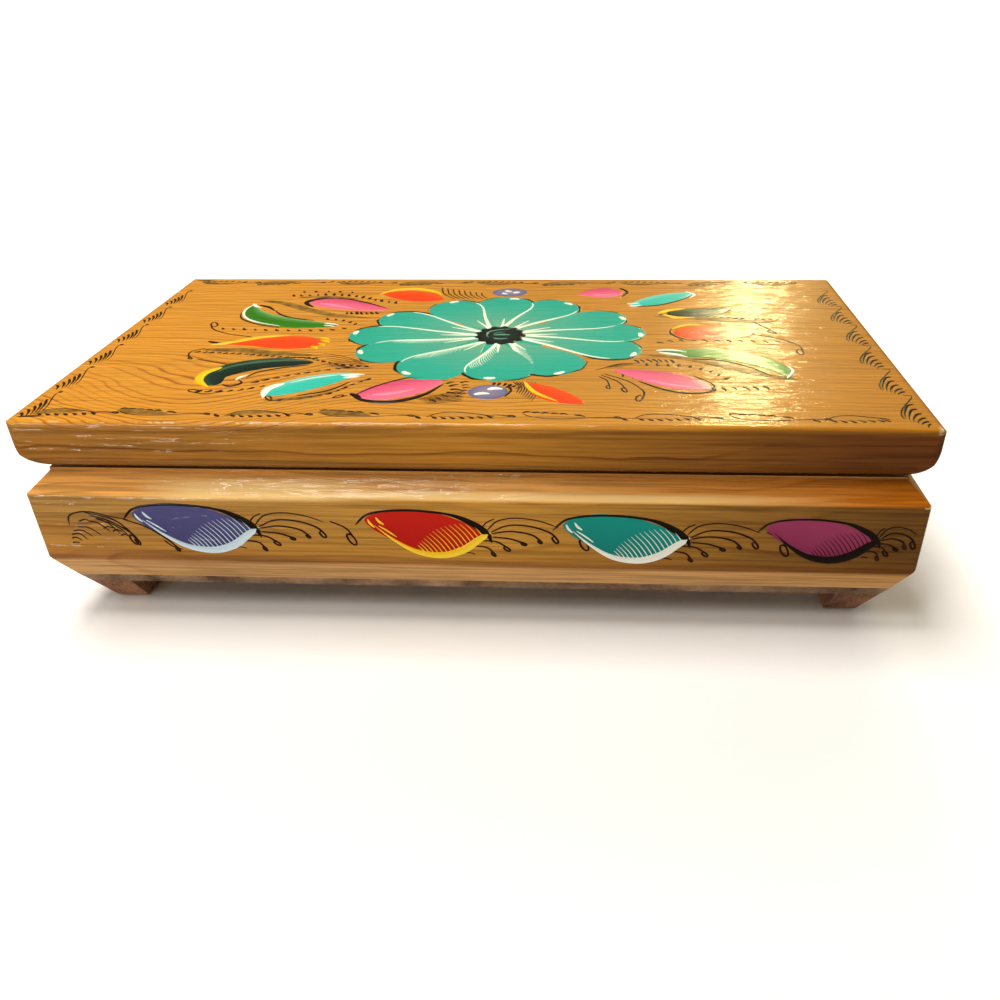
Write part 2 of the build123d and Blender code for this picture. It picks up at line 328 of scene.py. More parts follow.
def curve_through(points, count):
    """Smooth curve through the points, taken at even steps of its length.

    Between each two runs a cubic, whose slope at a point is half the way from the point before to the one after.
    """
    p = np.asarray(points, float)
    q = np.vstack([2 * p[0] - p[1], p, 2 * p[-1] - p[-2]])
    t = np.linspace(0, len(p) - 1, 24 * len(p))
    i = np.minimum(t.astype(int), len(p) - 2)
    f = (t - i)[:, None]
    a, b, c, d = q[i], q[i + 1], q[i + 2], q[i + 3]
    fine = 0.5 * (2 * b + (c - a) * f + (2 * a - 5 * b + 4 * c - d) * f**2 + (3 * b - a - 3 * c + d) * f**3)
    gone = np.concatenate([[0], np.cumsum(np.hypot(*np.diff(fine, axis=0).T))])
    even = np.linspace(0, gone[-1], count)
    return np.stack([np.interp(even, gone, fine[:, 0]), np.interp(even, gone, fine[:, 1])], -1)


def left_of(path):
    """Unit vectors to the left of a path."""
    tangent = np.gradient(path, axis=0)
    tangent /= np.maximum(np.linalg.norm(tangent, axis=1, keepdims=True), 1e-9)
    return np.stack([-tangent[:, 1], tangent[:, 0]], -1)


def swell(count, peak=0.4, power=0.8):
    """Width along a stroke: sin(pi u^k)^power, with k so that it is widest at u = peak, and never quite nothing."""
    u = np.linspace(0, 1, count)
    return np.maximum(np.sin(math.pi * u ** (math.log(0.5) / math.log(peak))) ** power, 0.03)


def stroke(points, left, right=None, layer=COAT, count=20, peak=0.4, power=0.8, lines=7, relief=0.04):
    """Film of paint: S(u, v) = P(u) + v w(u) N(u) for v from -1 to 1, w being left or right times the swell.

    Its height is layer + relief (1 - v^2), and drops just under the wood on its rim, so the film is closed.
    """
    path = curve_through(points, count)
    right = left if right is None else right
    width = swell(count, peak, power)
    v = np.sin(np.linspace(-1, 1, lines) * math.pi / 2)
    reach = np.where(v > 0, left, right)[None, :] * v[None, :] * width[:, None]
    grid = np.empty((count, lines, 3))
    grid[..., :2] = path[:, None, :] + left_of(path)[:, None, :] * reach[..., None]
    grid[..., 2] = layer + relief * (1 - v**2)[None, :] * np.minimum(1, width * (left + right))[:, None]
    grid[[0, -1], :, 2] = RIM
    grid[:, [0, -1], 2] = RIM
    uv = np.stack(np.broadcast_arrays(np.linspace(0, 1, count)[:, None], (v / 2 + 0.5)[None, :]), -1)
    return grid, uv


def dash(points, half, count, peak, **more):
    """Short press of the liner brush."""
    return stroke(points, half, count=count, peak=peak, lines=5, **more)


def line(points, half=0.2, end=None, layer=COAT, count=22):
    """Liner stroke of nearly even width from half at its start to end at its finish, both ends rounded."""
    end = half if end is None else end
    grid, uv = stroke(points, 1.0, layer=layer, count=count, lines=5, relief=0.02)
    path = curve_through(points, count)
    u = np.linspace(0, 1, count)
    width = (half + (end - half) * u) * np.minimum(1, np.minimum(u * count / 2.5 + 0.25, (1 - u) * count / 2.5 + 0.25))
    unit = (grid[..., :2] - path[:, None, :]) / swell(count)[:, None, None]
    grid[..., :2] = path[:, None, :] + unit * width[:, None, None]
    return grid, uv


def tendril(points, radius=0.9, half=0.2, end=0.3, way=-1, turn=330):
    """Liner stroke that ends in a drop: the ellipse a sin t ahead, b (1 - cos t) aside, tangent to the curve's end."""
    path = curve_through(points, 14)
    ahead = path[-1] - path[-2]
    ahead /= np.linalg.norm(ahead)
    aside = way * np.array([-ahead[1], ahead[0]])
    t = np.radians(np.linspace(0, turn, 14)[1:])[:, None]
    drop = path[-1] + 1.45 * radius * np.sin(t) * ahead + 0.62 * radius * (1 - np.cos(t)) * aside
    return line(np.vstack([path, drop]), half, end, count=44)


def comma(x, y, angle, length, half, bend=0.25):
    """Single press of the liner: round head at x, y, tail off at the angle, bent by a share of its length."""
    a = math.radians(angle)
    ahead, aside = np.array([math.cos(a), math.sin(a)]), np.array([-math.sin(a), math.cos(a)])
    at = np.array([x, y])
    points = [at, at + 0.5 * length * ahead + bend * 0.5 * length * aside, at + length * ahead]
    return dash(points, half, 9, 0.25, power=0.6, relief=0.03)


def comma_row(points, count, lean, length, half, seed):
    """Row of commas at even steps of a curve, each turned by lean from the curve's own direction."""
    path = curve_through(points, count)
    ahead = np.gradient(path, axis=0)
    rng = np.random.default_rng(seed)
    size = rng.uniform(0.8, 1.15, count)
    wag = rng.uniform(-8, 8, count)
    return [comma(p[0], p[1], math.degrees(math.atan2(d[1], d[0])) + lean + w, length * s, half * s)
            for p, d, s, w in zip(path, ahead, size, wag)]


def disc(x, y, rx, ry, lobes=0, ripple=0.0, layer=0.05, relief=0.06):
    """Round dab: S(t, r) = centre + r (1 + ripple cos(lobes t)) (rx cos t, ry sin t), as high as a stroke at v = r."""
    t = np.linspace(0, 2 * math.pi, 97)[:, None]
    r = np.array([1, 0.97, 0.8, 0.6, 0.35, 0.01])[None, :]
    edge = r * (1 + ripple * np.cos(lobes * t))
    grid = np.stack([x + rx * edge * np.cos(t), y + ry * edge * np.sin(t), layer + relief * (1 - r**2) + 0 * t], -1)
    grid[:, 0, 2] = RIM
    return grid, np.stack(np.broadcast_arrays(t / (2 * math.pi), r), -1)


def tapered(strokes, layer):
    """Strokes from (points, half width) that swell and run out."""
    return [stroke(points, half, layer=layer, count=22, peak=0.42, power=0.7) for points, half in strokes]


def pens(strokes, half, end, drop_half, drop_end):
    """Tendrils from (points, radius of the drop), or plain lines where the radius is nothing."""
    return [tendril(p, r, drop_half, drop_end) if r else line(p, half, end) for p, r in strokes]


def turned(points, pivot=(2.2, 1.6)):
    """The same points half a turn round the flower's middle."""
    return 2 * np.asarray(pivot) - np.asarray(points, float)


def on_lid(grid):
    """Plan millimetres to the lid's top face."""
    return np.stack([grid[..., 0], grid[..., 1], LID_TOP + grid[..., 2]], -1)


def wall_inset(z):
    """How far the moulding lies in from its ridge at height z: nothing on the face, e - sqrt(e^2 - d^2) on the bend of
    radius e, d being the depth below the face's foot, then the straight lean of the bevel."""
    down = np.maximum(FACE_FOOT - z, 0)
    bend = BEVEL_EASE * math.sin(BEVEL_LEAN)
    on_bend = BEVEL_EASE - np.sqrt(BEVEL_EASE**2 - np.minimum(down, bend) ** 2)
    return on_bend + np.maximum(down - bend, 0) * math.tan(BEVEL_LEAN)


def on_wall(face, along, out):
    """Surface of a wall: (length, height) to its outer face at the distance face, both directions being (x, y)."""
    def place(grid):
        away = face - wall_inset(grid[..., 1]) + grid[..., 2]
        return np.stack([along[0] * grid[..., 0] + out[0] * away, along[1] * grid[..., 0] + out[1] * away,
                         grid[..., 1]], -1)
    return place


def mesh_object(name, places, faces, finish):
    """Object from places in mm."""
    mesh = bpy.data.meshes.new(name)
    mesh.from_pydata(places * MM, [], faces.tolist())
    mesh.materials.append(finish)
    made = bpy.data.objects.new(name, mesh)
    bpy.context.scene.collection.objects.link(made)
    return made


def painted(name, strokes, surface, body, finish):
    """One piece of many strokes: every grid becomes quads between its neighbours, side by side in one mesh."""
    places, faces, uvs, start = [], [], [], 0
    for grid, uv in strokes:
        rows, cols = grid.shape[:2]
        index = start + np.arange(rows * cols).reshape(rows, cols)
        quads = np.stack([index[:-1, :-1], index[1:, :-1], index[1:, 1:], index[:-1, 1:]], -1).reshape(-1, 4)
        places.append(surface(grid).reshape(-1, 3))
        uvs.append(uv.reshape(-1, 2)[quads - start].reshape(-1, 2))
        faces.append(quads)
        start += rows * cols
    made = mesh_object(name, np.concatenate(places), np.concatenate(faces), finish)
    made.data.uv_layers.new(name="Stroke").data.foreach_set("uv", np.concatenate(uvs).ravel())
    made.data.polygons.foreach_set("use_smooth", np.ones(len(made.data.polygons), bool))
    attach(made, body)


def paint_lid(name, strokes, finish):
    """One piece of strokes on the lid's top."""
    painted(name, strokes, on_lid, "lid", finish)


# The flower on the lid: tip of each petal and its half width, in mm, going round the way the brush did

PETALS = [
    (20.5, -23.5, 7.8), (37.8, -10.5, 7.0), (39.8, 3.6, 6.9), (35.0, 16.5, 7.0), (19.5, 28.5, 7.8), (3.2, 32.3, 8.0),
    (-14.2, 28.4, 7.6), (-30.0, 16.2, 7.0), (-35.8, 1.6, 7.2), (-31.0, -12.4, 7.4), (-16.4, -25.6, 8.7),
    (4.2, -27.8, 8.4),
]
FLOWER = np.array([2.8, 1.4])
PETAL_PEAK, PETAL_POWER = 0.73, 0.54


def petal_ahead(x, y):
    """Unit vector from the flower's middle to the petal's tip."""
    return (np.array([x, y]) - FLOWER) / np.linalg.norm(np.array([x, y]) - FLOWER)


def petal_spine(x, y):
    """From 4 mm outside the flower's middle to the tip, bowed 1 mm to the left half way."""
    tip, ahead = np.array([x, y]), petal_ahead(x, y)
    start = FLOWER + 4.0 * ahead
    return [start, (start + tip) / 2 + np.array([-ahead[1], ahead[0]]), tip]


def petal_edge(x, y, half, side, first, last, out, count=12):
    """Points on a petal's own outline, P(u) + side out half w(u) N(u), for u from first to last."""
    path = curve_through(petal_spine(x, y), 60)
    edge = path + side * out * half * swell(60, PETAL_PEAK, PETAL_POWER)[:, None] * left_of(path)
    return edge[np.linspace(first * 59, last * 59, count).astype(int)]


def flower_petals():
    """Thin round ground under the flower, then each petal a little higher than the one before."""
    ground = [disc(*FLOWER, 13.0, 13.0, layer=WASH, relief=0.01)]
    return ground + [stroke(petal_spine(x, y), half, layer=COAT + 0.006 * k, count=34, peak=PETAL_PEAK,
                            power=PETAL_POWER, lines=11, relief=0.03) for k, (x, y, half) in enumerate(PETALS)]


def flower_lights():
    """Cream sweep down one edge of each petal, a dab at its tip, and combs of fine lines near the middle."""
    made = []
    for k, (x, y, half) in enumerate(PETALS):
        top = 0.075 + 0.006 * k
        made.append(line(petal_edge(x, y, half, -1, 0.02, 0.86, 0.93), 0.72, 0.2, layer=top, count=30))
        made.append(line(petal_edge(x, y, half, -1, 0.02, 0.34, 0.2), 0.75, 0.12, layer=top - 0.004, count=16))
        ahead = petal_ahead(x, y)
        aside = np.array([ahead[1], -ahead[0]])
        dab = np.array([x, y]) - 1.7 * ahead + 1.2 * aside
        made.append(stroke([dab - 1.6 * aside, dab + 0.25 * ahead, dab + 1.5 * aside - 0.2 * ahead], 0.75,
                           layer=top, count=12, peak=0.5, power=0.5))
        if k in (0, 9, 10, 11):
            starts = petal_edge(x, y, half, -1, 0.10, 0.62, 0.9, 17)
            lengths = 2.4 + 3.6 * np.sin(np.linspace(0.5, 2.9, 17))
            made += [line([s, s + 0.5 * n * ahead, s + n * (ahead - 0.18 * aside)], 0.15, 0.05, layer=top, count=7)
                     for s, n in zip(starts, lengths)]
    return made


def flower_outlines():
    """Broken dark line outside the petals' tips, heavier on the left half."""
    made = []
    for k, (x, y, half) in enumerate(PETALS):
        left, right = petal_edge(x, y, half, -1, 0.62, 0.97, 1.05, 9), petal_edge(x, y, half, 1, 0.97, 0.80, 1.05, 6)
        heavy = 0.46 if k > 6 or k < 2 else 0.3
        made.append(dash(np.vstack([left, right]), heavy, 26, 0.35, layer=0.02, power=0.5))
    return made


# Leaves round the flower: spine, left and right half widths, where widest, how blunt

PINK_LEAVES = [
    ([(-53, 28), (-45, 26.4), (-37, 23.6), (-29.5, 21.3)], 4.1, 4.3, 0.36, 0.62),
    ([(-24.8, -36.8), (-19, -33.8), (-12.5, -30.6), (-7.4, -27.6)], 4.8, 4.7, 0.45, 0.62),
    ([(22, 35.2), (28, 36.6), (35, 36.8)], 4.4, 4.4, 0.6, 0.6),
    ([(30.8, -20.8), (37, -23.4), (45, -27), (52.2, -31.2)], 4.0, 4.2, 0.6, 0.62),
]
ORANGE_LEAVES = [
    ([(-65, -5.7), (-57, -4.2), (-49, -4), (-40.8, -4.6)], 4.4, 4.7, 0.66, 0.6),
    ([(-33.8, 35.6), (-28, 34.6), (-22, 32.6), (-15.8, 30)], 4.6, 4.7, 0.5, 0.6),
    ([(11.5, -28.5), (14.5, -32), (19, -36), (24.5, -39.5)], 3.2, 3.2, 0.5, 0.7),
    ([(46.8, 4.4), (53, 3.9), (60, 3.6), (67, 3.4)], 5.0, 5.0, 0.4, 0.6),
]
GREEN_LEAVES = [
    ([(-68.5, 25.3), (-66.4, 18.4), (-61, 13.2), (-53, 9.9), (-46, 8.8), (-40.4, 8.5)], 3.6, 3.6, 0.5, 0.6),
    ([(42.5, -8.8), (49, -9.8), (56, -10.4), (62.5, -13.2), (68, -18.2), (70.5, -24.5)], 3.5, 3.5, 0.5, 0.6),
]
DARK_LEAVES = [
    ([(-58.2, -31.4), (-60.4, -26), (-57, -21.2), (-50, -18), (-39.6, -17.4)], 3.8, 3.6, 0.42, 0.55),
    ([(46, 19.2), (52, 19), (58, 20.2), (64, 24)], 3.3, 3.2, 0.45, 0.6),
]
TURQUOISE_LEAVES = [
    ([(-46, -36.4), (-40.5, -31.8), (-35, -28), (-28, -24)], 3.9, 3.8, 0.45, 0.6),
    ([(36.8, 25.2), (42, 28.4), (48, 32.4), (54.4, 36.6)], 3.9, 3.9, 0.5, 0.6),
]
# Buds: middle and half sizes
BUDS = [
    (3.4, -33.8, 4.4, 3.8), (2.6, 36.8, 5.0, 3.7),
]
# Strokes on and beside the leaves: points and half width
YELLOW_EDGES = [
    ([(-69, -6.6), (-63, -3.9), (-57, -0.6), (-50.5, 0.8)], 0.95), ([(-42.6, -0.8), (-41, -1.4), (-39.6, -2.6)], 0.5),
    ([(-42, -2.8), (-40.6, -3.2), (-39.2, -4.2)], 0.5), ([(-42.2, -4.8), (-41, -5.4), (-39.8, -6.6)], 0.5),
    ([(-43.4, -6.8), (-42, -7.6), (-41.2, -9)], 0.45),
    ([(-35, 34.2), (-31.5, 38.2), (-26, 39.9), (-20, 38), (-16.5, 34)], 0.95),
    ([(-60.2, -20.6), (-63.2, -24.4), (-62.8, -28.8), (-59.4, -32.4)], 1.15),
    ([(43.8, 18.6), (47, 21.4), (51.5, 22.8)], 0.9), ([(44.8, 17.8), (48.4, 15.5), (53.5, 15.6)], 0.8),
    ([(46.4, 6.6), (50.5, 9.6), (56, 9.4)], 0.55), ([(10.8, -27.8), (13.6, -33.8), (19, -38.8)], 0.6),
]
WHITE_EDGES = [
    ([(-67.9, 26.2), (-69.3, 20.5), (-67.2, 14.4), (-62, 10.2), (-55, 7.4)], 0.4),
    ([(-68.8, 26), (-67.2, 23.4), (-65.4, 22.4)], 0.6), ([(-44.5, 9.8), (-42.5, 9.4), (-40.2, 8.6)], 0.42),
    ([(-44.2, 8.2), (-42.6, 8), (-41, 7.6)], 0.35), ([(-42.8, -29.8), (-45.6, -33.2), (-45.2, -38)], 1.15),
    ([(-42, -30), (-37, -26.8), (-30.5, -24.6)], 0.26), ([(-31.4, -25.3), (-28.6, -24.8), (-25.8, -24.5)], 0.65),
    ([(-30.4, -26.6), (-28.6, -26.2), (-26.6, -26)], 0.55), ([(-54.6, -28.4), (-54, -26.6), (-52.6, -25.2)], 0.45),
    ([(3, -32.7), (4.8, -32), (6.6, -32.4)], 0.9), ([(0.4, -35.4), (2.2, -34.7), (4, -35)], 0.75),
    ([(1, 38.4), (2, 37.7), (3.2, 37.2)], 0.75), ([(3.4, 36), (4.6, 36.6), (5.6, 36.9)], 0.8),
    ([(0.4, 36.2), (1.2, 35.4), (2.2, 35)], 0.6), ([(52.8, 38), (55, 35), (53.4, 31.8)], 0.5),
    ([(35.8, 26.8), (37.6, 26.8), (39.4, 27.3)], 0.55), ([(36.2, 24.8), (38, 24.9), (39.8, 25.6)], 0.5),
    ([(41.4, -8.4), (45.6, -8.3), (49, -9.6)], 0.6), ([(42, -9.8), (46, -11), (48.8, -12.8)], 0.55),
    ([(69.4, -25.2), (71.6, -21), (71, -17.4)], 0.36),
]
PINK_LIGHTS = [
    ([(-50.5, 26.6), (-45, 24.6), (-38.5, 21.6)], 0.8), ([(-22, -36), (-17, -34.8), (-12.5, -32.4)], 0.8),
    ([(38, -26.4), (43, -29), (49.5, -31)], 0.5), ([(26, 35), (30, 34.6), (33.6, 35.6)], 0.6),
]
DARK_SHEEN = [
    ([(-60.6, -24.6), (-58.6, -20.6), (-53, -17.6), (-46, -16.2), (-41, -16.4)], 0.6),
    ([(49, 21), (54, 21.4), (60, 23.4)], 0.6),
]
BLACK_EDGES = [
    ([(-47, 30.9), (-51.6, 30.2), (-54, 26.9), (-50.8, 22.8)], 0.85),
    ([(-48, 31), (-42, 29.8), (-35, 25.8), (-30, 22)], 0.36),
    ([(-26.2, -36.2), (-22.5, -38.9), (-16.5, -39.4), (-10.6, -35.8), (-6.7, -29.2)], 0.72),
    ([(-25.8, -36.4), (-21.4, -30.8), (-16, -26.6), (-11.5, -26.2)], 0.24),
    ([(-26.8, -35.2), (-25, -36.4), (-23.6, -37.6)], 0.6),
    ([(-57, -30.8), (-54.6, -31.8), (-52.7, -29.9), (-54.2, -27.9)], 0.36),
    ([(-52.8, -27), (-51, -23.6), (-46, -20.9), (-40, -18.9)], 0.24),
    ([(-60.8, -20.6), (-56, -17.2), (-49, -15), (-43, -14.4), (-39.4, -16)], 0.22),
    ([(-66.8, 24.6), (-63.4, 22.9), (-60.8, 19.8)], 0.5), ([(-61, 20.5), (-58.4, 17), (-54, 13.9), (-47.5, 12)], 0.3),
    ([(-69.9, 19), (-67.8, 13.4), (-62, 9), (-55, 6.2)], 0.26), ([(-70.4, -3.8), (-68.4, -4.6), (-66.6, -5.2)], 0.5),
    ([(34, 41.2), (36.2, 37.6), (34.6, 32.8)], 0.4), ([(7.2, -30.3), (8.4, -32.8), (7.2, -36.4)], 0.3),
    ([(-38.4, -36.9), (-32, -33.8), (-28, -28.6)], 0.26),
    ([(36, -27), (42, -32), (47.6, -33.8), (52.2, -32.2), (52.6, -28.4), (48.6, -23.8)], 0.3),
    ([(46.5, 7.4), (45.9, 3.6), (48.4, -0.2), (52, -1.6)], 0.26),
    ([(38, 24.2), (45, 26), (51.5, 31), (54.8, 35.4)], 0.26),
    ([(49, -13.8), (56, -14.6), (62, -18.4), (66.6, -24.2)], 0.26),
]
WASHES = [
    ([(-68, 29), (-60, 26.4), (-52, 21), (-43, 16.4), (-32, 14)], 1.5),
    ([(-70, -9.4), (-60, -9.8), (-50, -11.8), (-38, -13.2)], 1.5), ([(-58, 31.5), (-49, 32.4), (-40, 30.6)], 0.8),
    ([(-45, -39), (-36, -37.6), (-30, -33.8)], 0.8),
]


def leaf(spine, left, right, peak, power, layer=LEAF):
    """Broad stroke with its own half width on each side of the spine."""
    return stroke(spine, left, right, layer=layer, count=36, peak=peak, power=power, lines=11, relief=0.05)


# Penwork of the lid: rows of commas as (points, how many, lean, length), curled tendrils as (points, radius)

ROWS = [
    ([(-59, 32.6), (-50, 33.5), (-42, 32.4), (-34, 28.6), (-28.5, 26.4)], 15, 112, 2.3),
    ([(-57, 36.4), (-50, 36.8), (-43, 36)], 5, 118, 1.6),
    ([(-69.5, 5), (-61, 4.4), (-52, 4), (-43, 4.2), (-37.5, 6)], 12, 128, 1.9),
    ([(-40, 17.4), (-36, 17.2), (-31.5, 17.6)], 7, 112, 2.6),
    ([(-69.5, -10.6), (-58, -11.9), (-48, -13.6), (-39.5, -14.2)], 18, 205, 1.5),
    ([(-49, -28.6), (-43, -25), (-37, -22.4), (-30, -20)], 10, 178, 1.9),
    ([(-42.5, -38.8), (-36.5, -37.6), (-31, -34.8), (-27.8, -30.8), (-24, -26.6)], 12, 172, 1.9),
    ([(-60, -34), (-53, -33.6), (-47, -31)], 7, 205, 1.8), ([(-38.6, -16.2), (-33, -18.6), (-26, -19.6)], 8, 165, 1.4),
    ([(-44, 12.8), (-40, 11.8), (-36, 8.8)], 5, 120, 1.5),
]
# Rows that come back half a turn round the flower
TWIN_ROWS = (0, 2, 3, 4)
SMALL_ROWS = [
    ([(39, -18.2), (47, -18.8), (52.4, -21.6), (55.6, -26)], 9, 100, 1.8, 0.44),
    ([(-6.5, -29.6), (-5.2, -32.4), (-6.6, -35.4), (-9, -38)], 7, 95, 2.6, 0.44),
    ([(-3.4, -29), (-2.6, -32), (-3.8, -36)], 6, 95, 2.2, 0.34),
    ([(4.2, -28.4), (7.4, -28.9), (10.4, -30.6)], 6, -98, 2.3, 0.46),
]
CURLS = [
    ([(27.5, -24.6), (29.4, -27), (30, -30.6)], 0.6), ([(28, -23.8), (31.8, -27.5), (33.6, -32)], 0.8),
    ([(28.6, -23), (34, -27.2), (37.2, -32.6), (36.8, -36.6)], 1.1),
    ([(-60, -0.6), (-67, 1.6), (-72.3, 5), (-74.3, 8.4)], 1.3),
    ([(-69.2, -8.6), (-71.8, -10.6), (-71.6, -13.4), (-70.2, -15)], 0.5),
    ([(-54.8, -34.6), (-58.6, -36), (-62, -35)], 1.0), ([(-40.6, -39.4), (-43.2, -39.2), (-44.4, -38)], 0.8),
    ([(-27, -36), (-28.6, -37.2)], 0.8), ([(64.6, 3.4), (71, 1), (76, -4), (76.4, -9)], 1.2),
    ([(62, 16), (68, 12), (72, 5)], 1.0),
]
# Fans of liner strokes: numbers k, curve steps, start, knee and end as (x, its gain by k, y, its gain), half widths
FANS = [
    (range(8), 12, ((-3.2, -1.25, 31, -0.15), (-5.0, -1.6, 33.8, 0.2), (-5.6, -1.75, 36.6, 0.75)), 0.17, 0.24),
    (range(8), 12, ((8.4, 0.7, -28.0, 0), (10, 0.62, -30.8, -0.3), (9.6, 0.5, -34.5, -0.6)), 0.24, 0.12),
    (range(8), 12, ((-1.4, 0, -38.6, 0.9), (-4.6, 0, -39.2, 0.7), (-9, -0.4, -40.4, 0.35)), 0.16, 0.09),
    (range(0, 8, 2), 10, ((26.6, 0.4, -21.4, 0.35), (29.6, 0.5, -19.2, 0.35), (33.6, 0.6, -19.0, 0.4)), 0.14, 0.18),
    (range(1, 8, 2), 10, ((-26, -0.6, -21.6, 0.2), (-29, -0.7, -20.8, 0.3), (-33, -0.7, -21.2, 0.4)), 0.1, 0.15),
    (range(7), 12, ((-39.5, 0.9, -11.4, -1.5), (-34, 0.5, -13.2, -1.3), (-28.5, 0.7, -16.6, -0.7)), 0.07, 0.12),
]


def lid_penwork():
    """Rows of commas, fans of fine lines and curled tendrils; part of the right half is the left half turned about."""
    made = []
    for k, (points, count, lean, length) in enumerate(ROWS):
        made += comma_row(points, count, lean, length, 0.46, seed=k)
        if k in TWIN_ROWS:
            made += comma_row(turned(points), count, lean, length, 0.4, seed=k + 40)
    for seed, (points, count, lean, length, half) in enumerate(SMALL_ROWS, 70):
        made += comma_row(points, count, lean, length, half, seed)
    for steps, count, places, half, end in FANS:
        made += [line([(x + dx * k, y + dy * k) for x, dx, y, dy in places], half, end, count=count) for k in steps]
    made += [tendril(points, radius, 0.19, 0.27) for points, radius in CURLS]
    made.append(line([(-68.8, -15.6), (-64, -17.4), (-59.4, -19.2)], 0.17, 0.22))
    return made


# Border motifs, about their own start

COMB_STEM = np.array([(-0.4, -0.2), (-0.2, -2.4), (0.6, -5.2), (1.3, -8.0), (1.4, -10.4)])
COMB_HEADS = np.array([(-0.9, -3.7), (-1.3, -5.4), (-1.7, -7.1), (-2.2, -8.9), (-2.8, -10.7)])
COMB_TAILS = np.array([(0.9, -10.9), (0.5, -11.5), (0.0, -12.1), (-0.6, -12.7), (-1.4, -13.4)])
FAN_STEM = np.array([(0, 0), (-0.4, -1.2), (-1.9, -3.5), (-3.9, -6.6), (-5.0, -9.6), (-5.0, -12.0)])
FAN_HEADS = np.array([(-0.8, -4.4), (-0.8, -6.7), (-0.6, -8.9), (-0.4, -10.9), (-0.4, -12.6)])
FAN_KNEES = np.array([(-2.6, -5.3), (-2.4, -7.4), (-2.0, -9.5), (-1.6, -11.4), (-1.3, -13.0)])
FAN_TAILS = np.array([(-4.7, -11.8), (-4.1, -12.6), (-3.5, -13.3), (-2.8, -13.9), (-2.2, -14.5)])
# How far the long borders lie from the middle, and where their feathers and ragged leaves start
BORDER = 46.0
FEATHERS = (-92.4, -51.0, -8.8, 33.6, 72.2)
RAGGED = (-74.6, -31.6, 11.0, 53.4)


def side_combs():
    """Left: stems with five barbs that fall to the foot of the next. Right: nested arcs under an S-shaped stem."""
    made = []
    for k, top in enumerate((-35.6, -21.1, -6.4, 8.3, 22.9, 37.5)):
        at = np.array([-91.6 - 0.1 * (k % 2), top])
        made += [disc(at[0] + 0.1, at[1], 0.55, 0.45, layer=COAT, relief=0.02), line(at + COMB_STEM, 0.17, 0.12)]
        for head, tail in zip(COMB_HEADS, COMB_TAILS):
            knee = head + 0.45 * (tail - head) + (0.25, 0.35)
            made.append(dash([at + head, at + knee, at + tail], 0.33, 14, 0.2))
    for k, top in enumerate((-34.0, -19.3, -4.6, 10.1, 24.8, 39.5)):
        at = np.array([93.9 - 0.25 * (k % 3), top])
        made += [line([at + (-1.7, 0.2), at + (-0.8, -0.05), at + (0.05, 0.05)], 0.1, 0.17),
                 line(at + FAN_STEM, 0.17, 0.2)]
        for head, knee, tail in zip(FAN_HEADS, FAN_KNEES, FAN_TAILS):
            bow = at + 0.4 * knee + 0.6 * tail + (-0.35, 0.1)
            made.append(dash([at + head, at + knee, bow, at + tail], 0.38, 16, 0.2))
        if k == 0:
            made.append(dash([at + (-0.3, -13.7), at + (-1.0, -14.2), at + (-1.5, -15.6)], 0.3, 10, 0.25))
    return made


def long_border(out):
    """Front (out -1) or back (out 1) border: feathers with barbs outwards, ragged leaves with barbs inwards."""
    made = []

    def place(points, x):
        return np.array([(x + a, BORDER * out + out * b) for a, b in points])

    for k, x in enumerate(FEATHERS):
        s = 0.94 if k == len(FEATHERS) - 1 else 1.0
        stem = [(0.6, 0.9), (3, -1.2), (6.4, -1.7), (10 * s, -1.2), (13, -0.4), (15 * s, 0.3)]
        made.append(line(place(stem, x), 0.14, 0.2))
        made.append(dash(place([(12.4 * s, -0.5), (13.6 * s, 0.2), (14.6 * s, 1.1)], x), 0.36, 10, 0.7))
        for n in range(6):
            sink = 0.15 * abs(n - 1.5)
            barb = [(1.4 + 1.9 * n, 0.5 - sink), (2.2 + 1.9 * n, 1.0 - sink), (3.1 + 1.9 * n, 1.7 - sink)]
            made.append(dash(place(barb, x), 0.42, 9, 0.68))
        if k:
            made.append(dash(place([(-1.9, -0.1), (-1.1, 0.8), (-0.2, 1.5)], x), 0.46, 10, 0.6))
        if x < 60:
            made.append(tendril(place([(14, -0.5), (16, -0.5), (18.2, 0.2)], x), 0.5, 0.14, 0.3, way=-out))
    made.append(dash(place([(-1.8, 2.4), (1, 2.0), (4.2, 1.9)], FEATHERS[0]), 0.42, 12, 0.5))
    for x in RAGGED:
        stem = [(0.4, -1.9), (1.8, -0.3), (4.5, 0.7), (8.5, 1.0), (13, 0.6), (17, 0.1), (19.6, 0.1)]
        made.append(line(place(stem, x), 0.16, 0.12))
        for n in range(5):
            barb = [(0.6 + 1.9 * n, -1.8 - 0.2 * (n % 2) + 0.14 * n), (1.6 + 1.9 * n, -2.3 + 0.2 * n),
                    (2.7 + 1.9 * n, -2.0 + 0.24 * n)]
            made.append(dash(place(barb, x), 0.37, 9, 0.35))
        made.append(dash(place([(11.2, -1.0), (12.6, -0.7), (13.8, 0)], x), 0.4, 10, 0.4))
        made.append(tendril(place([(17.6, 0.1), (19.2, 0.05), (20.2, 0.4)], x), 0.45, 0.14, 0.28, way=-out))
    return made


def border_washes():
    """Thinned colour inside the feathers and ragged leaves of the back border, and of the front one on the left."""
    made = []
    for out in (-1, 1):
        at = BORDER * out
        for starts, limit, route, half, peak in [
            (FEATHERS, -40, [(0.4, 0.9), (4.5, -0.5), (11.5, -0.7)], 0.85, 0.36),
            (RAGGED, 0, [(0.2, -1.5), (4.6, -1.0), (12.2, 0.2)], 1.35, 0.34),
        ]:
            made += [stroke([(x + a, at + b * out) for a, b in route], half, layer=WASH, count=18, peak=peak, power=0.6)
                     for x in starts if out > 0 or x < limit]
    return made


# Leaf of the walls, its right tip at 0, 0, and the tendrils that spring from it, as (points, radius of the drop)

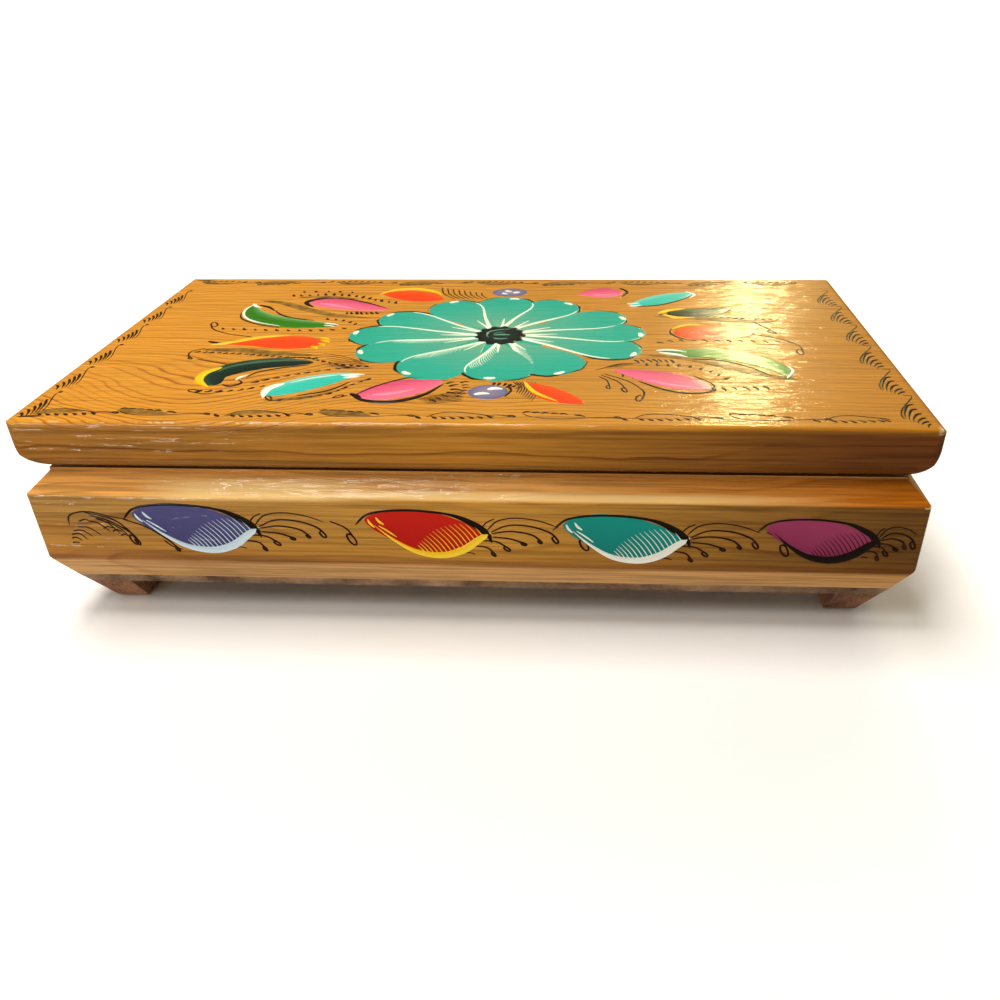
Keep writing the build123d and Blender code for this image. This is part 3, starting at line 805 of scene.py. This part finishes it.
WALL_LEAF = ([(-27.7, 3.4), (-21, 2.3), (-13.5, 0.5), (-6, -0.5), (-0.6, 0)], 5.2, 5.3, 0.5, 0.62)
WALL_OUTLINE = [
    (-30, 1.9), (-26.4, 5.0), (-18.5, 6.0), (-9, 5.1), (-3.5, 2.6), (-0.4, -0.2), (0.3, -2.3),
]
WALL_EDGE = [
    (0.2, 0.6), (-2.6, -1.4), (-6.2, -4.2), (-11.0, -5.7), (-16.5, -4.9), (-21.5, -1.8), (-26, 2.4),
]
WALL_GLEAM = [([(-27.0, 3.8), (-26.5, 2.5), (-25.4, 1.3)], 0.32), ([(-25.2, 4.3), (-24.4, 3.0), (-23.2, 2.1)], 0.32),
              ([(-25.0, 2.2), (-22.8, 0.6), (-20.6, -1.2)], 0.22)]
WALL_TENDRILS = [
    ([(-0.8, 0.8), (1.6, 3.4), (5.5, 4.3), (10.5, 3.7), (15, 2.0)], 0), ([(16, 2.4), (19.4, 0.6), (21, -2.0)], 1.1),
    ([(0, 0.5), (4, 2.4), (9, 2.2), (13, 0.7), (14.5, -0.9)], 0.7),
    ([(0.2, 0.2), (4.5, 0.9), (9, 0.1), (11, -1.5)], 0.42), ([(0.4, -0.6), (4.2, -1), (7.4, -2.1)], 0.42),
    ([(-2.6, -1.6), (1.2, -1.8), (3.8, -3.4)], 0.55), ([(-4.4, -2.9), (-0.8, -3.4), (0.8, -5.0)], 0.42),
    ([(-6.4, -4.9), (-4.8, -4.8), (-3.4, -5.2)], 0), ([(-1.8, 1.6), (-0.6, 3.1), (1.2, 4.1)], 0),
]
# Which of them reaches over to the next leaf, and the spray at the left end of the front
REACHING = 1
LEFT_SPRAY = [
    ([(-76.6, 27.4), (-72, 25.6), (-68, 22.6), (-65.6, 19.8)], 0.45),
    ([(-85, 29.1), (-79, 27.4), (-76, 24.6), (-74.8, 22.2)], 0.9),
    ([(-89, 25.4), (-88.2, 28.2), (-84, 29.2), (-79, 28), (-75, 27.2)], 0),
    ([(-89.6, 21), (-88.8, 21.1), (-88, 20.9)], 0), ([(-89.5, 22.1), (-88.4, 22.4), (-87.2, 21.5)], 0),
    ([(-89.2, 23.1), (-87.4, 23.4), (-85.8, 21.8)], 0), ([(-88.6, 24.1), (-86.4, 24.2), (-84.4, 22.6)], 0),
    ([(-87.4, 25.2), (-84.8, 25.0), (-82.4, 23.1)], 0), ([(-86.6, 26.6), (-85, 27.2), (-84, 26.6)], 0),
    ([(-84.4, 26.9), (-82, 26.0), (-80, 23.9)], 0), ([(-82.6, 27.6), (-80, 26.2), (-78, 23.6)], 0),
    ([(-80.4, 26.8), (-78, 25.2), (-76.4, 23.4)], 0),
    ([(-84, 28.4), (-79.6, 26.8), (-75.6, 23.9), (-74.2, 21.6)], 0.6),
    ([(-81.5, 24.8), (-80.4, 25.4), (-79.2, 25.0)], 0), ([(-79.6, 24), (-78.6, 24.6), (-77.4, 24.0)], 0),
    ([(-78, 23), (-77, 23.4), (-76, 22.8)], 0), ([(-68.5, 22), (-66.8, 20.4), (-64.6, 19.6)], 0),
]


def moved(points, tip, scale):
    """The points scaled about 0, 0 and carried to the tip."""
    return np.asarray(tip) + scale * np.asarray(points, float)


def wall_leaf(tip, scale):
    """Body of a leaf."""
    spine, left, right, peak, power = WALL_LEAF
    return [leaf(moved(spine, tip, scale), left * scale, right * scale, peak, power, layer=COAT)]


def wall_leaf_dark(tip, scale):
    """Black line over the top of a leaf with a second stroke on it, heaviest before the tip."""
    route = moved(WALL_OUTLINE, tip, scale)
    return [line(route, 0.26 * scale, 0.36 * scale, layer=EDGE, count=40),
            stroke(route[1:], 0.86 * scale, layer=EDGE + 0.005, count=36, peak=0.84, power=1.0)]


def wall_leaf_edge(tip, scale, heavy):
    """Pale stroke under the leaf, heaviest near the tip, with a comb of fine lines drawn up into the colour."""
    route = moved(WALL_EDGE, tip, scale)
    made = [stroke(route, 1.0 * scale * heavy, layer=TRIM, count=36, peak=0.24, power=0.95)]
    starts = curve_through(route, 60)[np.linspace(4, 32, 15).astype(int)]
    for k, start in enumerate(starts):
        length = (3.2 + 5.0 * math.sin(math.pi * (k + 1) / 15)) * scale
        knee, end = start + length * np.array([-0.26, 0.42]), start + length * np.array([-0.60, 0.80])
        made.append(line([start, knee, end], 0.17, 0.05, layer=TRIM + 0.005, count=9))
    return made


def wall_leaf_gleam(tip, scale):
    """Three pale dabs at the leaf's broad end."""
    return [stroke(moved(p, tip, scale), h * scale, layer=TRIM, count=10, peak=0.5) for p, h in WALL_GLEAM]


def wall_tendrils(tip, last):
    """Tendrils of a leaf; those of a wall's last leaf are smaller and don't reach on."""
    scale, reach = (0.85, 0.6) if last else (1.0, 1.0)
    kept = [s for k, s in enumerate(WALL_TENDRILS) if not (last and k == REACHING)]
    moved_on = [(np.asarray(tip) + scale * np.asarray(points, float) * (reach, 1.0), radius) for points, radius in kept]
    return pens(moved_on, 0.19, 0.14, 0.18, 0.28)


# What a user may change

def watts(name, text, default):
    """Setting for a light's power."""
    return FloatProperty(name=name, description=text, default=default, min=0.0, unit="POWER")


class BoxWoodSettings(bpy.types.PropertyGroup):
    ring_spacing: FloatProperty(name="Ring spacing", description="Distance between growth rings across the grain",
                                default=0.0012, min=0.0004, max=0.01, unit="LENGTH")
    ring_contrast: FloatProperty(name="Ring contrast", description="How dark the latewood lines are",
                                 default=0.55, min=0.0, max=1.0, subtype="FACTOR")
    wear: FloatProperty(name="Chipped edges", description="How bare the varnish is on the edges",
                        default=0.85, min=0.0, max=1.0, subtype="FACTOR")


class BoxPaintSettings(bpy.types.PropertyGroup):
    gloss: FloatProperty(name="Enamel roughness", description="Roughness of the painted strokes",
                         default=0.28, min=0.05, max=1.0, subtype="FACTOR")


class BoxStageSettings(bpy.types.PropertyGroup):
    key_power: watts("Key light", "Power of the soft light overhead", 6.6)
    side_power: watts("Left softbox", "Power of the high light at the front left", 2.6)
    window_power: watts("Window light", "Power of the tall narrow light behind", 1.95)
    fill_power: watts("Left light", "Power of the small light at the front left", 0.09)
    front_power: watts("Low front light", "Power of the long low light at the front left", 0.57)
    backdrop_power: watts("Backdrop light", "Power of the light on the backdrop", 30.0)
    floor_radius: FloatProperty(name="Floor bend", description="Radius of the bend between floor and backdrop",
                                default=0.35, min=0.1, unit="LENGTH", subtype="DISTANCE")


# Operators, one for each group of pieces

class BOX_OT_wood(bpy.types.Operator):
    """Varnish the lid and the walls, and leave the base and the feet rough"""
    bl_idname = "box.wood"
    bl_label = "Wood"

    def execute(self, context):
        s = context.scene.box_wood
        foot, wall_top, top, lid_low = WALL_LOW[2], WALL_HIGH[2], LID_TOP, LID_LOW[2]
        ridge, lid_front, front = wall_top - CHAMFER_RISE, LID_LOW[1], -FRONT_FACE
        # Worn places: the lid's front corners, a fine trace of its front edge, the chamfer's top in the middle, and
        # the ends of the ridge. The trace along the lid's front edge is partly a painted highlight of its rounded edge.
        lid_chips_and_edge_highlight = [[("X", 96.4, 2.2), ("Y", lid_front, 2.2), ("Z", top - 0.3, 1.2)],
                     [("X", -95.5, 2.5), ("Y", lid_front, 2.0), ("Z", top - 0.4, 1.0)],
                     [("X", -66.0, 26.0), ("Y", lid_front, 0.55), ("Z", top, 0.45)]]
        wall_edges = [[("X", 2.0, 12.0), ("Y", front + LAND_INSET, 1.6), ("Z", wall_top - 1.0, 0.7)],
                      [("X", END_FACE, 1.7), ("Y", front, 1.7), ("Z", ridge, 0.6)]]
        # Paler colour on the chamfer: a lens left of the middle, a painted highlight of glare, and a narrow paler strip
        # along the ridge
        wall_highlight_and_pale_strip = [[("X", -46.0, 27.0), ("Y", front, 4.0), ("Z", ridge + 1.3, 2.4)],
                     [("X", 10.0, 70.0), ("Y", front, 2.0), ("Z", ridge + 0.7, 0.9)]]
        # The lid's edge is painted darker from just above its underside to some 4 mm up: painted shade under the
        # rounded lower edge, down to a dark line of painted shadow at the gap. The third colours, darker towards the
        # right end, are partly painted shade where the light falls off to the right.
        lid_tones_and_shade = [
            (lid_low, "#b98238", "#b98238", "#b07830"), (lid_low + 0.08, "#3c2109", "#3c2109", "#28140a"),
            (lid_low + 1.4, "#6b431a", "#6f461a", "#4f2b0a"), (lid_low + 4.2, "#98631f", "#a97120", "#66370a"),
            (top - 1.6, "#a06b24", "#b17926", "#6e3d10"), (top - 0.7, "#c08434", "#bd8230", "#a0661f"),
            (top - 0.1, "#d59026", "#c78925", "#bb7d1d"), (top, "#d59026", "#c78925", "#bb7d1d")]
        # The step half a millimetre under the wall's top is painted darker than the chamfer and the land: partly
        # painted shade of the gap under the lid. Along the long walls the third colours, darker towards the right end
        # on the face and the chamfer, are partly painted shade where the light falls off to the right.
        wall_tones_and_shade = [
            (foot, "#c89a62", "#cb9c64", "#cc9b62"), (foot + 5.4, "#c79862", "#cc9b62", "#c39054"),
            (foot + 6.6, "#966132", "#9a632c", "#6a3c0e"), (foot + 8.8, "#a87130", "#bd8634", "#6b4212"),
            (foot + 10.6, "#ac7831", "#c48d36", "#6c4615"), (ridge - 0.4, "#a67c3c", "#c48e3a", "#704a18"),
            (ridge + 0.2, "#f0ad56", "#fabc66", "#d27819"), (wall_top - 0.9, "#eea654", "#f4b05e", "#d07619"),
            (wall_top - 0.5, "#c07a36", "#c07a36", "#8a4e1c"), (wall_top, "#c9924a", "#c9924a", "#b9803c")]
        lid = varnished_pine("varnished pine lid", "x", (0.0, -0.11, 0.08), 0.010, lid_tones_and_shade, ("X", -80.0, 0.0, 80.0),
                             s.ring_spacing, s.ring_contrast, s.wear, lid_chips_and_edge_highlight,
                             swirls=[(-62.0, -46.0, 42.0, -11.0), (-22.0, -20.0, 26.0, 3.0)])
        long_wall = varnished_pine("varnished pine long wall", "x", (0.0, 0.19, 0.05), 0.012, wall_tones_and_shade,
                                   ("X", -70.0, 0.0, 90.0), 0.0017, 0.4, s.wear, wall_edges, 3.0, pale=wall_highlight_and_pale_strip)
        end_wall = varnished_pine("varnished pine end wall", "y", (0.0, 0.24, 0.05), 0.012, wall_tones_and_shade,
                                  ("Y", -60.0, 120.0, 300.0), 0.0017, 0.4, s.wear, wall_edges[1:], 3.0)
        base = sawn_pine("rough sawn base", "#432818", "#c69e78", (900, 900, 6500))
        foot = sawn_pine("rough stained foot", "#5e3826", "#b07c58", (1500, 1500, 420))
        looks = {"lid_board": lid, "front_wall": long_wall, "back_wall": long_wall, "left_wall": end_wall,
                 "right_wall": end_wall, "base_board": base}
        looks |= {f"foot_{place}": foot for place in ("front_left", "front_right", "back_left", "back_right")}
        for node, made in looks.items():
            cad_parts[node].data.materials[0] = made
        return {"FINISHED"}


class BOX_OT_metal(bpy.types.Operator):
    """Give the hinges and screws brass and the brads steel"""
    bl_idname = "box.metal"
    bl_label = "Metal"

    def execute(self, context):
        brass = metal("stamped brass", "#cfa85a", "#8f6d33", 0.36)
        screw = metal("turned brass", "#d4ae62", "#9a7638", 0.30)
        steel = metal("drawn steel wire", "#8a8784", "#5a5450", 0.42)
        for name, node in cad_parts.items():
            if name.startswith("hinge_screws"):
                node.data.materials[0] = screw
            elif name.startswith("hinge_"):
                node.data.materials[0] = brass
            elif name.endswith("_brads"):
                node.data.materials[0] = steel
        return {"FINISHED"}


class BOX_OT_felt(bpy.types.Operator):
    """Lay the felt on the floor of the box"""
    bl_idname = "box.felt"
    bl_label = "Felt"

    def execute(self, context):
        low, high = FELT_LOW, FELT_HIGH
        # Closed sheet: rings of the superellipse |x|^(2/p) + |y|^(2/p) = 1, from the middle below to the middle above
        side = np.linspace(0, 2 * math.pi, 241)[:-1]
        ring = np.stack([np.sign(np.cos(side)) * np.abs(np.cos(side)) ** 0.06,
                         np.sign(np.sin(side)) * np.abs(np.sin(side)) ** 0.06], -1)
        half = (high[:2] - low[:2]) / 2
        levels = [(0.0, 0.0), (0.90, 0.0), (0.997, 0.02), (1.0, 0.25), (1.0, 0.75), (0.997, 0.96), (0.99, 1.0),
                  (0.6, 1.0), (0.0, 1.0)]
        places = []
        for share, rise in levels:
            # The upper face waves by 0.035 mm and stays under the CAD felt's top
            wave = (0.035 * np.sin(ring[:, 0] * 9 * share) * np.cos(ring[:, 1] * 5 * share) - 0.04) * (rise > 0.9)
            places.append(np.column_stack([ring * half * share, low[2] + rise * (high[2] - low[2]) + wave]))
        index = np.arange(len(levels) * len(side)).reshape(len(levels), -1)
        turn = np.roll(index, -1, axis=1)
        quads = np.stack([index[:-1], turn[:-1], turn[1:], index[1:]], -1).reshape(-1, 4)
        felt = mesh_object("felt_lining", np.concatenate(places), quads,
                           wool_felt("pressed wool felt", "#3c0710", "#8e1c2c"))
        felt.data.validate()
        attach(felt, "box")
        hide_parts("floor_felt")
        return {"FINISHED"}


class BOX_OT_lid_flower(bpy.types.Operator):
    """Paint the large flower on the lid"""
    bl_idname = "box.lid_flower"
    bl_label = "Lid flower"

    def execute(self, context):
        gloss = context.scene.box_paint.gloss
        arcs = [([(-3.2, -0.8), (-3.0, 1.8), (-0.6, 3.6), (2.6, 4.4)], 0.38),
                ([(-1.6, -0.4), (-0.8, 1.4), (1.4, 2.2)], 0.2), ([(-1.4, -0.4), (0.6, 0.2), (2.8, -0.2)], 0.55),
                ([(-1.6, -2.4), (0.4, -2.9), (2.4, -2.4)], 0.42), ([(-2.6, -1.8), (-3.2, -0.2), (-2.6, 1.4)], 0.18)]
        middle = disc(FLOWER[0] + 0.1, FLOWER[1] - 0.1, 6.3, 6.5, 13, 0.07, layer=0.15)
        sets = [
            ("lid_petals", flower_petals(), "turquoise enamel petals",
             [(0.0, "#7eaa84"), (0.3, "#52a68a"), (0.7, "#2aa68c"), (1.0, "#1fa289")]),
            ("lid_petal_lines", flower_lights(), "cream enamel lines", [(0.0, "#e8f0d4"), (1.0, "#d6ecd4")]),
            ("lid_petal_outlines", flower_outlines(), "black enamel lines", [(0.0, "#17120f"), (1.0, "#241a15")]),
            ("lid_flower_middle", [middle], "deep green enamel",
             [(0.0, "#22352d"), (0.6, "#1a2a25"), (1.0, "#0f1815")]),
            ("lid_flower_middle_lines", tapered([(FLOWER + np.array(route), half) for route, half in arcs], 0.21),
             "grey green enamel", [(0.0, "#4d7f70"), (1.0, "#6fa08c")]),
        ]
        for name, strokes, look, stops in sets:
            paint_lid(name, strokes, brushed_enamel(look, stops, gloss, across=name != "lid_petals"))
        return {"FINISHED"}


class BOX_OT_lid_leaves(bpy.types.Operator):
    """Paint the leaves and buds round the flower"""
    bl_idname = "box.lid_leaves"
    bl_label = "Lid leaves"

    def execute(self, context):
        gloss = context.scene.box_paint.gloss
        leaves = [
            ("pink", PINK_LEAVES, [(0.0, "#ea6c84"), (0.5, "#e35c7c"), (1.0, "#c84264")]),
            ("orange", ORANGE_LEAVES, [(0.0, "#e23e08"), (0.5, "#e83e02"), (1.0, "#e05008")]),
            ("green", GREEN_LEAVES, [(0.0, "#2f7a10"), (0.5, "#2c7414"), (0.8, "#4a8f3c"), (1.0, "#7fb06e")]),
            ("dark", DARK_LEAVES, [(0.0, "#10241e"), (0.6, "#14302a"), (1.0, "#2f5a34")]),
            ("turquoise", TURQUOISE_LEAVES, [(0.0, "#25b8a4"), (0.6, "#2dbca8"), (1.0, "#7fd0bc")]),
        ]
        sets = [(f"leaves_{colour}", [leaf(*shape) for shape in shapes], stops) for colour, shapes, stops in leaves]
        sets += [
            ("buds", [disc(*bud) for bud in BUDS], [(0.0, "#8c7f92"), (0.7, "#75708e"), (1.0, "#5f5f86")]),
            ("yellow_edges", tapered(YELLOW_EDGES, EDGE), [(0.0, "#eeb20e"), (1.0, "#fccc0a")]),
            ("white_edges", tapered(WHITE_EDGES, TRIM), [(0.0, "#d8e2d0"), (1.0, "#f2f2e4")]),
            ("pink_lights", tapered(PINK_LIGHTS, EDGE), [(0.0, "#f58aa2"), (1.0, "#f27a98")]),
            ("dark_sheen", tapered(DARK_SHEEN, EDGE), [(0.0, "#2c5238"), (1.0, "#4c7a4a")]),
            ("black_edges", tapered(BLACK_EDGES, 0.11), [(0.0, "#1a120e"), (1.0, "#2a1a14")]),
        ]
        for name, strokes, stops in sets:
            paint_lid(f"lid_{name}", strokes, brushed_enamel(name.replace("_", " ") + " enamel", stops, gloss))
        return {"FINISHED"}


class BOX_OT_lid_penwork(bpy.types.Operator):
    """Draw the fine brown commas, tendrils and borders of the lid"""
    bl_idname = "box.lid_penwork"
    bl_label = "Lid penwork"

    def execute(self, context):
        ink = pen_ink("umber liner paint", "#160b05", "#3a210f")
        paint_lid("lid_penwork", lid_penwork(), ink)
        paint_lid("lid_border", side_combs() + long_border(-1) + long_border(1), ink)
        twins = [(turned(points), half) for points, half in WASHES[:2]]
        paint_lid("lid_washes", tapered(WASHES + twins, WASH) + border_washes(),
                  pen_ink("thin umber wash", "#6a4a14", "#987026"))
        return {"FINISHED"}


class BOX_OT_wall_leaves(bpy.types.Operator):
    """Paint the leaves and tendrils of the front wall and of the two end walls"""
    bl_idname = "box.wall_leaves"
    bl_label = "Wall leaves"

    def execute(self, context):
        gloss = context.scene.box_paint.gloss
        # Each leaf's own colours and those of its edge
        looks = {
            "purple": ([(0.0, "#41406e"), (1.0, "#4b4a7a")], [(0.0, "#a9c3d2"), (1.0, "#d2e2ea")]),
            "red": ([(0.0, "#ae0c02"), (1.0, "#be1804")], [(0.0, "#e9b60c"), (1.0, "#f4d23a")]),
            "teal": ([(0.0, "#047c74"), (1.0, "#068c82")], [(0.0, "#d6dcd2"), (1.0, "#eef0e6")]),
            "magenta": ([(0.0, "#842a4e"), (1.0, "#98365e")], [(0.0, "#140d0c"), (1.0, "#1e1412")]),
        }
        finishes = {name: [brushed_enamel(f"{name}{part} enamel", stops, gloss)
                           for part, stops in zip(("", " leaf edge"), pair)] for name, pair in looks.items()}
        black = brushed_enamel("black enamel outline", [(0.0, "#120c0a"), (1.0, "#1e1512")], gloss)
        ink = pen_ink("umber liner paint on walls", "#180b06", "#33190d")
        # Each wall's surface, slot and leaves, from left to right, with the place of the tip and the scale
        walls = [
            ("front", on_wall(FRONT_FACE, (1, 0), (0, -1)), "long_wall_pine",
             [("purple", (-46.5, 25.3), 1.0), ("red", (4.4, 24.8), 0.98), ("teal", (47.3, 24.2), 0.98),
              ("magenta", (87.4, 24.6), 0.87)]),
            ("right", on_wall(END_FACE, (0, 1), (1, 0)), "end_wall_pine",
             [("red", (-8.0, 25.2), 0.95), ("purple", (35.5, 25.2), 0.95)]),
            ("left", on_wall(END_FACE, (0, -1), (-1, 0)), "end_wall_pine",
             [("teal", (-8.0, 25.2), 0.95), ("magenta", (35.5, 25.2), 0.95)]),
        ]
        for wall, surface, slot, leaves in walls:
            outlines, marks = [], []
            for colour, tip, scale in leaves:
                body, edge = finishes[colour]
                painted(f"{wall}_leaf_{colour}", wall_leaf(tip, scale), surface, "box", body)
                if colour == "magenta":
                    trim = wall_leaf_edge(tip, scale, 1.3)
                else:
                    trim = wall_leaf_edge(tip, scale, 1.0) + wall_leaf_gleam(tip, scale)
                painted(f"{wall}_leaf_{colour}_edge", trim, surface, "box", edge)
                outlines += wall_leaf_dark(tip, scale)
                marks += wall_tendrils(tip, colour == leaves[-1][0])
            if wall == "front":
                marks += pens(LEFT_SPRAY, 0.22, 0.14, 0.18, 0.28)
            painted(f"{wall}_leaf_outlines", outlines, surface, "box", black)
            painted(f"{wall}_tendrils", marks, surface, "box", ink)
        return {"FINISHED"}


class BOX_OT_stage(bpy.types.Operator):
    """Set the pale floor, the soft lights and the camera"""
    bl_idname = "box.stage"
    bl_label = "Stage"

    def execute(self, context):
        s = context.scene.box_stage
        scene = context.scene
        # Floor from near to far, quarter round of the bend's radius, then upright to high, carried along X, in m
        near, far, high, wide, radius = -1.6, 0.9, 2.2, 2.4, s.floor_radius
        bend = np.linspace(0, math.pi / 2, 24)
        quarter = np.stack([far + radius * np.sin(bend), radius * (1 - np.cos(bend))], -1)
        profile = np.concatenate([[(near, 0.0)], quarter, [(far + radius, high)]])
        places = np.concatenate([np.column_stack([np.full(len(profile), x), profile]) for x in (-wide, wide)])
        first = np.arange(len(profile) - 1)
        faces = np.stack([first, first + len(profile), first + len(profile) + 1, first + 1], -1)
        # Matt white paper with a barely visible grain
        paper, tree = material("matt white studio paper")
        tone = span(tree, noise(tree, object_place(tree), 900.0, 2.0), 0.0, 1.0, 0.94, 0.97)
        white = add(tree, "ShaderNodeCombineColor", {0: tone, 1: tone, 2: tone}).outputs[0]
        principled(tree, {"Base Color": white, "Roughness": 0.9})
        floor = mesh_object("studio_floor", places / MM, faces, paper)
        floor.visible_glossy = False

        # Name, place and aim in m, size in m, power, tint and spread in degrees
        soft, middle = (1.0, 0.96, 0.90), (-0.03, -0.05, 0.03)
        for name, place, aim, size, energy, tint, spread in [
            ("soft_overhead", (-0.18, 0.02, 0.88), (0, 0, 0.03), (0.42, 0.34), s.key_power, soft, 180),
            ("left_softbox", (-0.30, -0.43, 0.95), middle, (0.22, 0.2), s.side_power, soft, 180),
            ("tall_window", (0.236, 0.88, 0.47), (0.07, 0.0, 0.05), (0.04, 0.5), s.window_power,
             (1.0, 0.87, 0.42), 180),
            ("left_fill", (-0.14, -0.228, 0.256), (-0.04, -0.048, 0.036), (0.08, 0.05), s.fill_power,
             (1.0, 0.97, 0.92), 180),
            ("low_front", (-0.30, -0.42, 0.055), middle, (0.2, 0.06), s.front_power, soft, 180),
            ("backdrop_wash", (0.0, 0.45, 1.5), (0.0, 1.25, 0.35), (2.4, 0.5), s.backdrop_power, (1.0, 1.0, 1.0), 100),
        ]:
            light = bpy.data.lights.new(name, "AREA")
            light.shape, light.spread, light.energy, light.color = "RECTANGLE", math.radians(spread), energy, tint
            light.size, light.size_y = size
            lamp = bpy.data.objects.new(name, light)
            scene.collection.objects.link(lamp)
            lamp.location = place
            lamp.rotation_euler = (Vector(aim) - lamp.location).to_track_quat("-Z", "Y").to_euler()
            lamp.visible_camera = False
            # The small fill only lifts the shade and leaves no bright patch in the varnish
            lamp.visible_glossy = name != "left_fill"

        # The dim warm room lights the object; where a view runs past the backdrop it shows a plain pale ground
        world = bpy.data.worlds.new("studio_world")
        world.use_nodes = True
        sky = world.node_tree
        room = sky.nodes["Background"]
        room.inputs["Color"].default_value, room.inputs["Strength"].default_value = srgb("#e8c890"), 0.12
        ground = add(sky, "ShaderNodeBackground", {"Color": srgb("#f6f4ee"), "Strength": 1.0})
        seen = add(sky, "ShaderNodeLightPath").outputs["Is Camera Ray"]
        either = add(sky, "ShaderNodeMixShader", {0: seen, 1: room.outputs[0], 2: ground.outputs[0]}).outputs[0]
        sky.links.new(either, sky.nodes["World Output"].inputs["Surface"])
        scene.world = world
        scene.view_settings.view_transform = "Standard"

        lens = bpy.data.cameras.new("photo_camera")
        lens.sensor_width, lens.lens = 36.0, FOCAL / PICTURE * 36.0
        lens.shift_x, lens.shift_y = (PICTURE / 2 - MIDDLE[0]) / PICTURE, (MIDDLE[1] - PICTURE / 2) / PICTURE
        lens.clip_start = 0.01
        camera = bpy.data.objects.new("photo_camera", lens)
        scene.collection.objects.link(camera)
        camera.matrix_world = camera_matrix(CAMERA_PLACE, YAW, PITCH, ROLL)
        scene.camera = camera
        return {"FINISHED"}


def camera_matrix(place, yaw, pitch, roll):
    """Columns: right, up and back. Right is level and turned by yaw, forward dips by pitch, then both roll."""
    right = np.array([math.cos(yaw), math.sin(yaw), 0])
    ahead = np.array([-math.sin(yaw) * math.cos(pitch), math.cos(yaw) * math.cos(pitch), -math.sin(pitch)])
    up = np.cross(right, ahead)
    right, up = math.cos(roll) * right + math.sin(roll) * up, math.cos(roll) * up - math.sin(roll) * right
    rows = np.eye(4)
    rows[:3, 0], rows[:3, 1], rows[:3, 2], rows[:3, 3] = right, up, -ahead, place
    return Matrix(rows.tolist())


STEPS = ("wood", "metal", "felt", "lid_flower", "lid_leaves", "lid_penwork", "wall_leaves", "stage")


class BOX_PT_panel(bpy.types.Panel):
    """Lists the steps and the settings"""
    bl_idname = "BOX_PT_panel"
    bl_label = "Painted jewelry box"
    bl_space_type = "VIEW_3D"
    bl_region_type = "UI"
    bl_category = "Box"

    def draw(self, context):
        for step in STEPS:
            self.layout.operator(f"box.{step}")
        for group in (context.scene.box_wood, context.scene.box_paint, context.scene.box_stage):
            for key in group.bl_rna.properties.keys():
                if key not in ("rna_type", "name"):
                    self.layout.prop(group, key)


CLASSES = (BoxWoodSettings, BoxPaintSettings, BoxStageSettings, BOX_OT_wood, BOX_OT_metal, BOX_OT_felt,
           BOX_OT_lid_flower, BOX_OT_lid_leaves, BOX_OT_lid_penwork, BOX_OT_wall_leaves, BOX_OT_stage, BOX_PT_panel)


def register():
    for cls in CLASSES:
        bpy.utils.register_class(cls)
    bpy.types.Scene.box_wood = PointerProperty(type=BoxWoodSettings)
    bpy.types.Scene.box_paint = PointerProperty(type=BoxPaintSettings)
    bpy.types.Scene.box_stage = PointerProperty(type=BoxStageSettings)


def unregister():
    del bpy.types.Scene.box_wood, bpy.types.Scene.box_paint, bpy.types.Scene.box_stage
    for cls in reversed(CLASSES):
        bpy.utils.unregister_class(cls)


def main():
    register()
    for step in STEPS:
        getattr(bpy.ops.box, step)()


if __name__ == "__main__":
    main()
